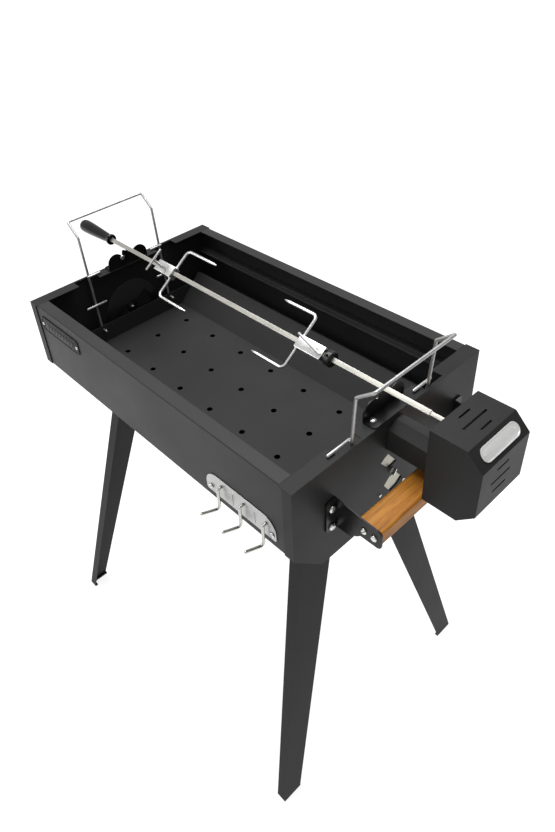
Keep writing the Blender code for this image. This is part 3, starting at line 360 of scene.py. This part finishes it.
coat = powder_coat("charcoal_powder_coat", 0.021, 0.028)
# Darker, less shiny copy of the charcoal coat for the end panels, motor cover and legs: painted
# shade, standing in for the shade on those sides.
shaded_coat = powder_coat("shaded_powder_coat", 0.017, 0.023, specular=0.09)
tray_coat = powder_coat("tray_powder_coat", 0.021, 0.028, (0.44, 0.56), 0.12)
gloss_coat = powder_coat("gloss_black_enamel", 0.005, 0.007, (0.26, 0.36), 0.2)
steel = bright_metal("brushed_stainless", (0.36, 0.345, 0.29), (0.24, 0.36), (1, 1, 30), 120.0)
plate_steel = bright_metal("linished_plate", (0.50, 0.50, 0.50), (0.30, 0.42), (40, 1, 1), 60.0)
zinc = bright_metal("zinc_plated_screws", (0.74, 0.74, 0.72), (0.20, 0.34))
chrome = bright_metal("drawn_bright_wire", (0.46, 0.46, 0.46), (0.34, 0.44), (0.2, 0.2, 0.2), 60.0,
                      0.000005, 0.75)
rod_steel = bright_metal("drawn_square_steel", (0.54, 0.53, 0.485), (0.32, 0.40), (0.1, 1, 1),
                         300.0, 0.000005)
black_plastic = moulded_plastic("black_moulding", (0.012, 0.012, 0.013), (0.22, 0.34))
gloss_plastic = moulded_plastic("gloss_black_moulding", (0.002, 0.002, 0.0022), (0.07, 0.12))
fork_steel = bright_metal("bright_fork_steel", (0.78, 0.78, 0.77), (0.24, 0.34))
hook_steel = bright_metal("hook_wire", (0.62, 0.61, 0.57), (0.18, 0.30))
badge_steel = bright_metal("satin_badge", (0.90, 0.90, 0.89), (0.34, 0.44), (40, 1, 1), 60.0,
                           metallic=0.6)
# Darker grey copy of the brushed stainless for the left vent disc: painted shade, standing in for
# the shade inside the trough.
shaded_steel = bright_metal("shaded_stainless", (0.16, 0.15, 0.15), (0.35, 0.5), (1, 1, 30), 120.0)
grey_plastic = moulded_plastic("grey_moulding", (0.16, 0.16, 0.17), (0.4, 0.55))
wood = oiled_wood("oiled_hardwood")

COAT_SLOT, STEEL_SLOT, WIRE_SLOT = "powder_coat", "stainless", "bright_wire"
PLASTIC_SLOT, WOOD_SLOT, GREY_SLOT = "black_plastic", "oiled_wood", "grey_plastic"
NODE_SLOTS = {entry["node"]: entry["material_slot"] for entry in frame["record"]["subparts"]}


# ---- mesh helpers --------------------------------------------------------------------------------
SHARP_ANGLE = 38                     # degrees: edges of a piece stay sharp above this
SLAB_ANGLE = 35                      # edges of a slab are rounded above this
EDGE_ANGLE = 30                      # edges of a CAD node are rounded above this
FLAT_ANGLE = 0.5                     # faces of a CAD node are joined below this
WELD_REACH = 0.00001
FACE_WEIGHT = 80


def add_piece(name, mesh, material, body, slot, *replaced):
    """Put a finished mesh into the scene as a piece that rides on a body."""
    mesh.materials.clear()
    mesh.materials.append(material)
    mesh.shade_smooth()
    mesh.set_sharp_from_angle(angle=math.radians(SHARP_ANGLE))
    piece = bpy.data.objects.new(name, mesh)
    scene.collection.objects.link(piece)
    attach(piece, body)
    if replaced:
        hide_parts(*replaced)
    return piece


def to_mesh(solid):
    bmesh.ops.recalc_face_normals(solid, faces=solid.faces)
    mesh = bpy.data.meshes.new("solid")
    solid.to_mesh(mesh)
    solid.free()
    return mesh


def moved(mesh, matrix):
    """Transformed copy of a mesh."""
    copy = mesh.copy()
    copy.transform(matrix)
    if matrix.determinant() < 0:
        copy.flip_normals()
    return copy


def gathered(*meshes):
    """One mesh from several."""
    solid = bmesh.new()
    for mesh in meshes:
        solid.from_mesh(mesh)
    mesh = bpy.data.meshes.new("solid")
    solid.to_mesh(mesh)
    solid.free()
    return mesh


def carved(mesh, *cutters):
    """Boolean cutters out of a mesh."""
    base = bpy.data.objects.new("base", mesh)
    scene.collection.objects.link(base)
    tools = [base]
    for index, cutter in enumerate(cutters):
        tool = bpy.data.objects.new("tool", cutter)
        scene.collection.objects.link(tool)
        modifier = base.modifiers.new(f"cut{index}", "BOOLEAN")
        modifier.object = tool
        modifier.operation = "DIFFERENCE"
        modifier.solver = "EXACT"
        tools.append(tool)
    cut = base.evaluated_get(bpy.context.evaluated_depsgraph_get())
    result = bpy.data.meshes.new_from_object(cut)
    for leftover in tools:
        bpy.data.objects.remove(leftover, do_unlink=True)
    return result


def skin(rings, closed=False):
    """Faces between rings of points, with the two end rings capped unless the rings close up."""
    solid = bmesh.new()
    loops = [[solid.verts.new(point) for point in ring] for ring in rings]
    pairs = list(zip(loops, loops[1:]))
    if closed:
        pairs.append((loops[-1], loops[0]))
    else:
        solid.faces.new(loops[0])
        solid.faces.new(loops[-1])
    count = len(loops[0])
    for first, second in pairs:
        for index in range(count):
            after = (index + 1) % count
            solid.faces.new((first[index], first[after], second[after], second[index]))
    return to_mesh(solid)


def bend(corners, radius, steps=7):
    """Replace each inner corner of a route by an arc."""
    points = [Vector(corner) for corner in corners]
    route = [points[0]]
    for before, corner, after in zip(points, points[1:], points[2:]):
        into = (corner - before).normalized()
        out = (after - corner).normalized()
        angle = into.angle(out)
        start = corner - into * radius * math.tan(angle / 2)
        centre = start + (out - into * into.dot(out)).normalized() * radius
        turn_axis = into.cross(out).normalized()
        for index in range(steps + 1):
            turn = Matrix.Rotation(angle * index / steps, 3, turn_axis)
            route.append(centre + turn @ (start - centre))
    route.append(points[-1])
    return route


def swept(stations):
    """Round bar through stations of (place, radius)."""
    places = [place for place, _ in stations]
    side = (places[1] - places[0]).normalized().orthogonal().normalized()
    rings = []
    for index, (place, radius) in enumerate(stations):
        way = (places[min(index + 1, len(places) - 1)] - places[max(index - 1, 0)]).normalized()
        side = (side - way * way.dot(side)).normalized()
        up = way.cross(side)
        ring = []
        for corner in range(WIRE_SIDES):
            angle = math.tau * corner / WIRE_SIDES
            ring.append(place + (side * math.cos(angle) + up * math.sin(angle)) * radius)
        rings.append(ring)
    return skin(rings)


def tube(route, radius):
    """Round wire along a route, with domed ends."""
    points = [Vector(place) for place in route]
    start_way = (points[1] - points[0]).normalized()
    end_way = (points[-1] - points[-2]).normalized()
    dome = []
    for degrees in (12, 35, 60, 90):
        angle = math.radians(degrees)
        dome.append((radius * (1 - math.cos(angle)), radius * math.sin(angle)))
    stations = [(points[0] + start_way * step, size) for step, size in dome]
    stations += [(place, radius) for place in points[1:-1]]
    stations += [(points[-1] - end_way * step, size) for step, size in reversed(dome)]
    return swept(stations)


def lathe(profile, sides=40, closed=False):
    """Turn (level, radius) points about Z."""
    rings = []
    for level, radius in profile:
        ring = []
        for index in range(sides):
            angle = math.tau * (index + 0.5) / sides
            ring.append((radius * math.cos(angle), radius * math.sin(angle), level))
        rings.append(ring)
    return skin(rings, closed)


def slab(outline, low, high, edge=0.0):
    """Plate from an outline in X and Y between two levels, with rounded-over edges."""
    solid = bmesh.new()
    bottom = [solid.verts.new((x, y, low)) for x, y in outline]
    top = [solid.verts.new((x, y, high)) for x, y in outline]
    solid.faces.new(bottom)
    solid.faces.new(top)
    for index in range(len(outline)):
        after = (index + 1) % len(outline)
        solid.faces.new((bottom[index], bottom[after], top[after], top[index]))
    bmesh.ops.recalc_face_normals(solid, faces=solid.faces)
    if edge:
        sharp = [line for line in solid.edges if line.calc_face_angle(0) > math.radians(SLAB_ANGLE)]
        bmesh.ops.bevel(solid, geom=sharp, offset=edge, segments=2, profile=0.5, affect="EDGES")
    return to_mesh(solid)


def rounded(half_x, half_y, upper, steps=6, lower=None):
    """Outline of a rectangle with rounded corners; the lower two can have their own radius."""
    lower = lower or upper
    corners = ((1, 1, upper), (-1, 1, upper), (-1, -1, lower), (1, -1, lower))
    points = []
    for quarter, (sign_x, sign_y, radius) in enumerate(corners):
        for step in range(steps + 1):
            angle = math.radians(90 * quarter + 90 * step / steps)
            points.append((sign_x * (half_x - radius) + radius * math.cos(angle),
                           sign_y * (half_y - radius) + radius * math.sin(angle)))
    return points


def facing(place, normal, turn=0.0):
    """Frame at a place with its Z along a normal, turned about it."""
    aim = Vector(normal).to_track_quat("Z", "Y").to_matrix().to_4x4()
    return Matrix.Translation(place) @ aim @ Matrix.Rotation(math.radians(turn), 4, "Z")


def soften(obj, width):
    """Round off the hard edges of a folded or machined piece."""
    weld = obj.modifiers.new("weld", "WELD")
    weld.merge_threshold = WELD_REACH
    flat = obj.modifiers.new("flat", "DECIMATE")
    flat.decimate_type = "DISSOLVE"
    flat.angle_limit = math.radians(FLAT_ANGLE)
    edge = obj.modifiers.new("edge", "BEVEL")
    edge.width = width
    edge.segments = 2
    edge.limit_method = "ANGLE"
    edge.angle_limit = math.radians(EDGE_ANGLE)
    edge.use_clamp_overlap = True
    even = obj.modifiers.new("even", "WEIGHTED_NORMAL")
    even.mode = "FACE_AREA"
    even.keep_sharp = False
    even.weight = FACE_WEIGHT


def dress(name, material, width):
    """Give a CAD node its finish and softened edges."""
    obj = nodes[name]
    obj.data.materials.clear()
    obj.data.materials.append(material)
    for face in obj.data.polygons:
        face.material_index = 0
    obj.data.shade_smooth()
    soften(obj, width)


# ---- pieces that replace CAD nodes ---------------------------------------------------------------
def bail_mesh(end, upper_bars):
    """Lifting bail: hooked spring wire with two welded rest bars on each leg."""
    lean = (BAIL_RIM_X - BAIL_HOOK_X[1]) / -BAIL_PIVOT_Z
    knee_x = BAIL_RIM_X + lean * BAIL_KNEE_Z
    legs = []
    for side in (-1, 1):
        y_value = side * BAIL_Y
        legs.append([(BAIL_HOOK_X[0], y_value, BAIL_PIVOT_Z),
                     (BAIL_HOOK_X[1], y_value, BAIL_PIVOT_Z),
                     (knee_x, y_value, BAIL_KNEE_Z), (BAIL_TOP[0], y_value, BAIL_TOP[1])])
    shapes = [tube(bend(legs[0] + legs[1][::-1], BAIL_BEND), BAIL_WIRE)]
    bead = lathe(BAR_BEAD, 12)
    lower = (-LOWER_BAR_HALF, LOWER_BAR_HALF)
    for side, upper in zip((-1, 1), upper_bars):
        for height, (start, stop) in ((UPPER_BAR_Z, upper), (LOWER_BAR_Z, lower)):
            x_value = BAIL_RIM_X + lean * height - 2 * BAIL_WIRE + BAR_BITE
            leg_y = side * BAIL_Y
            shapes.append(tube([(x_value, leg_y + start, height), (x_value, leg_y + stop, height)],
                               BAIL_WIRE))
            for step in (-1, 1):
                spot = (x_value + BAIL_WIRE * 0.9, leg_y + step * BAIL_WIRE * 0.8, height)
                shapes.append(moved(bead, Matrix.Translation(spot)))
    return moved(gathered(*shapes), BODY @ Matrix.Diagonal((end, 1, 1, 1)))


def tine(route):
    """One tine from its ground point to the clamp block."""
    points = [Vector(place) for place in route]
    way = (points[1] - points[0]).normalized()
    stations = [(points[0] + way * step, FORK_WIRE * share) for step, share in TINE_GRIND]
    stations += [(place, FORK_WIRE) for place in points[1:]]
    return swept(stations)


def fork_mesh(fork):
    """Tines bent from one wire, let into a clamp block with eased edges and a square bore."""
    low, high = fork["block_x"]
    bar_x, tip_x = fork["bar_x"], fork["tip_x"]
    half_u, half_n = BLOCK_HALF
    centred = Matrix.Translation(((low + high) / 2, 0, 0))
    block = slab(rounded((high - low) / 2, half_u, BLOCK_CORNER, 4), -half_n, half_n, BLOCK_EDGE)
    bore = slab(rounded(high - low, ROD_BORE, BORE_CORNER, 2), -ROD_BORE, ROD_BORE)
    screw_hole = lathe([(0, CLAMP_HOLE), (0.03, CLAMP_HOLE)], 24)
    shapes = [carved(moved(block, centred), moved(bore, centred),
                     moved(screw_hole, Matrix.Translation((fork["screw_x"], 0, 0))))]
    corners = [(tip_x, -FORK_HALF_SPAN, 0), (bar_x, -FORK_HALF_SPAN, 0),
               (bar_x, FORK_HALF_SPAN, 0), (tip_x, FORK_HALF_SPAN, 0)]
    route = bend(corners, FORK_BEND)
    middle = len(route) // 2
    weld = lathe([(level, FORK_WIRE * share) for level, share in TINE_WELD], 24)
    for half, side in ((route[:middle], -1), (route[middle:][::-1], 1)):
        shapes.append(tine(half + [(bar_x, side * (half_u - TINE_BITE), 0)]))
        shapes.append(moved(weld, facing((bar_x, side * half_u, 0), (0, side, 0))))
    return moved(gathered(*shapes), SPIT_FRAME)


def clamp_screw_mesh(fork):
    """Threaded shank with a cross bar."""
    profile = [(0.0043, 0.0014), (0.0050, 0.0023)]
    root, crest = THREAD_RADII
    level = THREAD_START
    while level < SCREW_TOP - 0.006:
        profile += [(level, root), (level + THREAD_PITCH / 2, crest)]
        level += THREAD_PITCH
    profile += [(SCREW_TOP - 0.0050, 0.0021), (SCREW_TOP - 0.0046, crest), (SCREW_TOP, crest)]
    half = fork["screw_bar"] / 2
    bar = tube([(0, -half, SCREW_TOP), (0, half, SCREW_TOP)], SCREW_WIRE)
    place = Matrix.Translation((fork["screw_x"], 0, 0))
    turn = Matrix.Rotation(math.radians(fork["screw_turn"]), 4, "Z")
    return moved(gathered(lathe(profile, 24), bar), SPIT_FRAME @ place @ turn)


def grip_mesh():
    """Tapered moulded grip with a collar at the rod's end."""
    profile = [(-0.3780, 0.0058), (-0.3780, 0.0096), (-0.3786, 0.0108), (-0.3798, 0.0113),
               (-0.3818, 0.0113), (-0.3830, 0.0109), (-0.3842, 0.0099), (-0.3870, 0.0092),
               (-0.3920, 0.0091), (-0.4000, 0.0096), (-0.4150, 0.0105), (-0.4300, 0.0114),
               (-0.4450, 0.0122), (-0.4600, 0.0129), (-0.4720, 0.0132), (-0.4790, 0.0131),
               (-0.4830, 0.0125), (-0.4852, 0.0113), (-0.4865, 0.0094), (-0.4870, 0.0070),
               (-0.4870, 0.0005), (-0.4705, 0.0005), (-0.4705, 0.0058)]
    return moved(lathe(profile, 56, True), SPIT_FRAME @ facing((0, 0, 0), (1, 0, 0)))


def collar_mesh():
    """Stop collar with rounded shoulders, a round bore and a hole for a grub screw."""
    profile = [(0.2185, 0.0050), (0.2185, 0.0112), (0.2188, 0.0122), (0.2197, 0.0129),
               (0.2208, 0.0130), (0.2272, 0.0130), (0.2283, 0.0129), (0.2292, 0.0122),
               (0.2295, 0.0112), (0.2295, 0.0050)]
    ring = moved(lathe(profile, 56, True), facing((0, 0, 0), (1, 0, 0)))
    hole = lathe([(0.004, GRUB_HOLE), (0.02, GRUB_HOLE)], 20)
    return moved(carved(ring, moved(hole, Matrix.Translation((COLLAR_X, 0, 0)))), SPIT_FRAME)


def hook_mesh(x_value):
    """Utensil hook that comes straight out of the plate, drops, and turns up to its tip."""
    corners = [(x_value, HOOK_FACE_Y, HOOK_ROOT_Z), (x_value, HOOK_HEEL[0] + 0.001, HOOK_ROOT_Z),
               (x_value, *HOOK_HEEL), (x_value, *HOOK_TIP)]
    return moved(tube(bend(corners, HOOK_BEND, 8), HOOK_WIRE), BODY)


def screw_head():
    """Slotted pan head of radius 1, standing on Z = 0."""
    dome = lathe([(0, 0.93), (0.06, 1.0), (0.24, 1.0), (0.38, 0.94), (0.50, 0.80), (0.58, 0.58),
                  (0.62, 0.30), (0.63, 0.06)], 40)
    slot = slab(((-1.2, -0.13), (1.2, -0.13), (1.2, 0.13), (-1.2, 0.13)), 0.30, 1.0)
    return carved(dome, slot)


def hexagon(radius, low, high):
    """Hexagon nut with chamfered corners."""
    turns = [math.radians(60 * index) for index in range(6)]
    corners = [(radius * math.cos(turn), radius * math.sin(turn)) for turn in turns]
    return slab(corners, low, high, PLATE_EDGE)


HEAD = screw_head()


def bolt_mesh(place, normal, turn, grip, radius, nut_radius, shank):
    """Slotted bolt whose head stands on a place, with its nut a grip length behind it."""
    head = moved(HEAD, Matrix.Scale(radius, 4))
    rod = lathe([(-grip - 0.0042, shank * 0.8), (-grip - 0.0036, shank), (0.0005, shank)], 20)
    nut = hexagon(nut_radius, -grip - NUT_HEIGHT, -grip)
    return moved(gathered(head, rod, nut), facing(place, normal, turn))


def add_bolts():
    """Support bolts stand on the rim, handle bolts on the end panel."""
    for kind, axis, size, turn, turn_step in (("support_bolt", 2, SUPPORT_BOLT, 20, 50),
                                              ("handle_bolt", 0, HANDLE_BOLT, 32, 14)):
        normal = Vector((0, 0, 0))
        normal[axis] = 1
        for name in [node for node in nodes if kind in node]:
            low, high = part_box(name)
            spot = (low + high) / 2
            spot[axis] = high[axis] - BOLT_HEAD
            grip = high[axis] - low[axis] - BOLT_HEAD - size["tail"]
            mesh = bolt_mesh(spot, normal, turn, grip, size["radius"], size["nut_radius"],
                             size["shank"])
            add_piece(f"{name}_fine", mesh, zinc, "trough", STEEL_SLOT, name)
            turn += turn_step


# screw heads and nuts without a CAD part: place in the body's frame, facing, radius, slot turn
TRIM_SCREWS = {
    "hook_plate_screw": [((0.1725, -0.2128, -0.1150), (0, -1, 0), 0.0048, 35),
                         ((0.3075, -0.2128, -0.1150), (0, -1, 0), 0.0048, -50)],
    "name_plate_screw": [((-0.3125, -0.2123, -0.0335), (0, -1, 0), 0.0032, 20),
                         ((-0.1925, -0.2123, -0.0335), (0, -1, 0), 0.0032, 70)],
    "bar_screw_front": [((0.4050, -0.1314, -0.0935), (0, -1, 0), 0.0054, 40),
                        ((0.4228, -0.1314, -0.0935), (0, -1, 0), 0.0054, 65)],
    "bar_screw_back": [((0.4050, 0.1554, -0.0935), (0, 1, 0), 0.0054, 15),
                       ((0.4228, 0.1554, -0.0935), (0, 1, 0), 0.0054, -30)],
    "end_panel_screw": [((0.3500, -0.0246, -0.1510), (1, 0, 0), 0.0030, 10),
                        ((0.3500, 0.0335, -0.1587), (1, 0, 0), 0.0030, 80)],
    "left_support_nut": [((-0.3263, -0.0130, 0.0200), (1, 0, 0), 0.0052, 30)],
    "right_support_nut": [((0.3263, -0.0130, 0.0200), (-1, 0, 0), 0.0052, 75)],
    "vent_pivot_screw": [((-0.3453, 0.0, -0.1120), (1, 0, 0), 0.0040, 60)],
    "bracket_screw": [((0.3850, 0.0, -0.0575), (0, 0, -1), 0.0042, 30),
                      ((0.4150, 0.0, -0.0575), (0, 0, -1), 0.0042, 75)],
}


def add_trim_screws():
    """Screw heads that have no CAD part of their own."""
    for name, spots in TRIM_SCREWS.items():
        heads = []
        for place, normal, radius, turn in spots:
            heads.append(moved(HEAD, BODY @ facing(place, normal, turn) @ Matrix.Scale(radius, 4)))
        add_piece(name, gathered(*heads), zinc, "trough", STEEL_SLOT)


def plate_frame(low, high):
    """Frame of an upright plate on the front: X along it, Y up, Z out of its back face."""
    middle = Vector(((low.x + high.x) / 2, high.y, (low.z + high.z) / 2))
    return middle, Matrix.Translation(middle) @ Matrix.Rotation(math.radians(90), 4, "X")


def hook_plate_mesh():
    """Pressed plate: rounded upper corners, hook holes, and a small rib between the hooks."""
    low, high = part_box("hook_plate")
    middle, frame_out = plate_frame(low, high)
    upper, lower = HOOK_PLATE_CORNERS
    outline = rounded((high.x - low.x) / 2, (high.z - low.z) / 2, upper, 8, lower)
    plate = slab(outline, 0, high.y - low.y, PLATE_EDGE)
    hole = lathe([(0, HOOK_HOLE), (0.02, HOOK_HOLE)], 24)
    holes = []
    for x_value in HOOK_X:
        spot = (x_value + MIDDLE_X - middle.x, HOOK_ROOT_Z + RIM_Z - middle.z, -0.01)
        holes.append(moved(hole, Matrix.Translation(spot)))
    shapes = [carved(plate, *holes)]
    rib = slab(rounded(*RIB_HALF, RIB_CORNER, 3), *RIB_LEVELS, RIB_EDGE)
    for x_value in RIB_X:
        spot = (x_value + MIDDLE_X - middle.x, -RIB_DROP, 0)
        shapes.append(moved(rib, Matrix.Translation(spot)))
    return moved(gathered(*shapes), frame_out)


def name_plate_mesh():
    """Blank pressed plate: raised border and a row of plain lozenges."""
    low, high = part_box("name_plate")
    half_x, half_z = (high.x - low.x) / 2, (high.z - low.z) / 2
    base = slab(rounded(half_x, half_z, NAME_CORNER), 0, 0.0009, 0.0003)
    border = slab(rounded(half_x - 0.0002, half_z - 0.0002, NAME_CORNER - 0.0002), 0.0005,
                  high.y - low.y, PLATE_EDGE)
    inner = slab(rounded(half_x - NAME_BORDER, half_z - NAME_BORDER, 0.0058), -0.001, 0.01)
    lozenge = slab(((-0.0052, -0.003), (-0.0012, -0.0065), (0.0052, 0.003), (0.0012, 0.0065)),
                   0.0005, 0.0015, PLATE_EDGE)
    shapes = [base, carved(border, inner)]
    for index in range(LOZENGES):
        place = (index - (LOZENGES - 1) / 2) * LOZENGE_PITCH
        shapes.append(moved(lozenge, Matrix.Translation((place, 0, 0))))
    return moved(gathered(*shapes), plate_frame(low, high)[1])


def pill(half_long, half_wide, steps=14):
    """Outline of a strip along Y with round ends."""
    straight = half_long - half_wide
    points = []
    for start, centre in ((0, straight), (180, -straight)):
        for step in range(steps + 1):
            angle = math.radians(start + 180 * step / steps)
            points.append((half_wide * math.cos(angle), centre + half_wide * math.sin(angle)))
    return points


def badge_mesh():
    """Blank pill-shaped plate with a raised rim and two rivets."""
    low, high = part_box("badge_plate")
    tilt = Matrix.Rotation(math.radians(45), 4, "Y")
    inner = [half - BADGE_BORDER for half in BADGE_HALF]
    base = slab(pill(*BADGE_HALF), -0.0006, 0.0001, 0.0002)
    rim = carved(slab(pill(*BADGE_HALF), -0.0003, 0.0006, 0.0003), slab(pill(*inner), -0.01, 0.01))
    rivet = lathe([(-0.0001, 0.0020), (0.0002, 0.0019), (0.0005, 0.0013), (0.0006, 0.0004)], 20)
    shapes = [base, rim]
    for side in (-1, 1):
        shapes.append(moved(rivet, Matrix.Translation((0, side * BADGE_RIVET_Y, 0))))
    return moved(gathered(*shapes), Matrix.Translation((low + high) / 2) @ tilt)


def add_fine_pieces():
    for end, name in ((1, "right"), (-1, "left")):
        mesh = bail_mesh(end, REST_BARS[name])
        add_piece(f"{name}_bail_wire", mesh, chrome, f"{name}_bail", WIRE_SLOT, f"{name}_lift_bail")
    for name, fork in FORKS.items():
        add_piece(f"{name}_fork_fine", fork_mesh(fork), fork_steel, f"{name}_fork", WIRE_SLOT,
                  f"{name}_fork")
        add_piece(f"{name}_clamp_screw", clamp_screw_mesh(fork), chrome, f"{name}_fork_screw",
                  WIRE_SLOT, f"{name}_fork_screw")
    add_piece("grip_moulding", grip_mesh(), gloss_plastic, "spit", PLASTIC_SLOT, "spit_grip")
    add_piece("stop_collar", collar_mesh(), black_plastic, "collar", PLASTIC_SLOT, "spit_collar")
    for x_value, name in zip(HOOK_X, ("left", "middle", "right")):
        add_piece(f"{name}_hook_wire", hook_mesh(x_value), hook_steel, "trough", WIRE_SLOT,
                  f"{name}_utensil_hook")
    add_piece("hook_plate_pressed", hook_plate_mesh(), plate_steel, "trough", STEEL_SLOT,
              "hook_plate")
    add_piece("name_plate_pressed", name_plate_mesh(), coat, "trough", COAT_SLOT, "name_plate")
    add_piece("badge_pressed", badge_mesh(), badge_steel, "trough", STEEL_SLOT, "badge_plate")
    add_bolts()
    add_trim_screws()


# ---- assembly ------------------------------------------------------------------------------------
SLOT_FINISH = {COAT_SLOT: coat, STEEL_SLOT: steel, WIRE_SLOT: rod_steel,
               PLASTIC_SLOT: black_plastic, WOOD_SLOT: wood, GREY_SLOT: grey_plastic}
# the left vent disc takes the darker copy of the stainless: painted shade
OWN_FINISH = {"charcoal_tray": tray_coat, "left_vent_disc": shaded_steel,
              "left_vent_knob": zinc, "right_vent_knob": zinc,
              "left_spit_support": gloss_coat, "right_spit_support": gloss_coat,
              "front_handle_bracket": gloss_coat, "back_handle_bracket": gloss_coat,
              "motor_bracket": tray_coat, "motor_cover": shaded_coat,
              "left_end_panel": shaded_coat, "right_end_panel": shaded_coat}
# the legs, like the motor cover and end panels above, take the darker copy of the coat: painted
# shade
for corner in ("left_front", "left_back", "right_front", "right_back"):
    OWN_FINISH[f"{corner}_leg"] = shaded_coat
SHEET_EDGE = 0.0004
EDGE = {"handle_bar": 0.0008, "motor_cover": 0.0009, "gearbox_housing": 0.0008, "spit_rod": 0.0005}
# endings of the nodes whose finer pieces stand in for them
REPLACED = ("lift_bail", "fork", "fork_screw", "spit_grip", "spit_collar", "utensil_hook",
            "hook_plate", "name_plate", "badge_plate", "bolt_front", "bolt_back", "bolt_upper",
            "bolt_lower")


def dress_nodes():
    """Finish and soften every CAD node that stays in view."""
    for name, slot in NODE_SLOTS.items():
        if not name.endswith(REPLACED):
            dress(name, OWN_FINISH.get(name, SLOT_FINISH[slot]), EDGE.get(name, SHEET_EDGE))


add_camera()
add_surroundings()
dress_nodes()
add_fine_pieces()
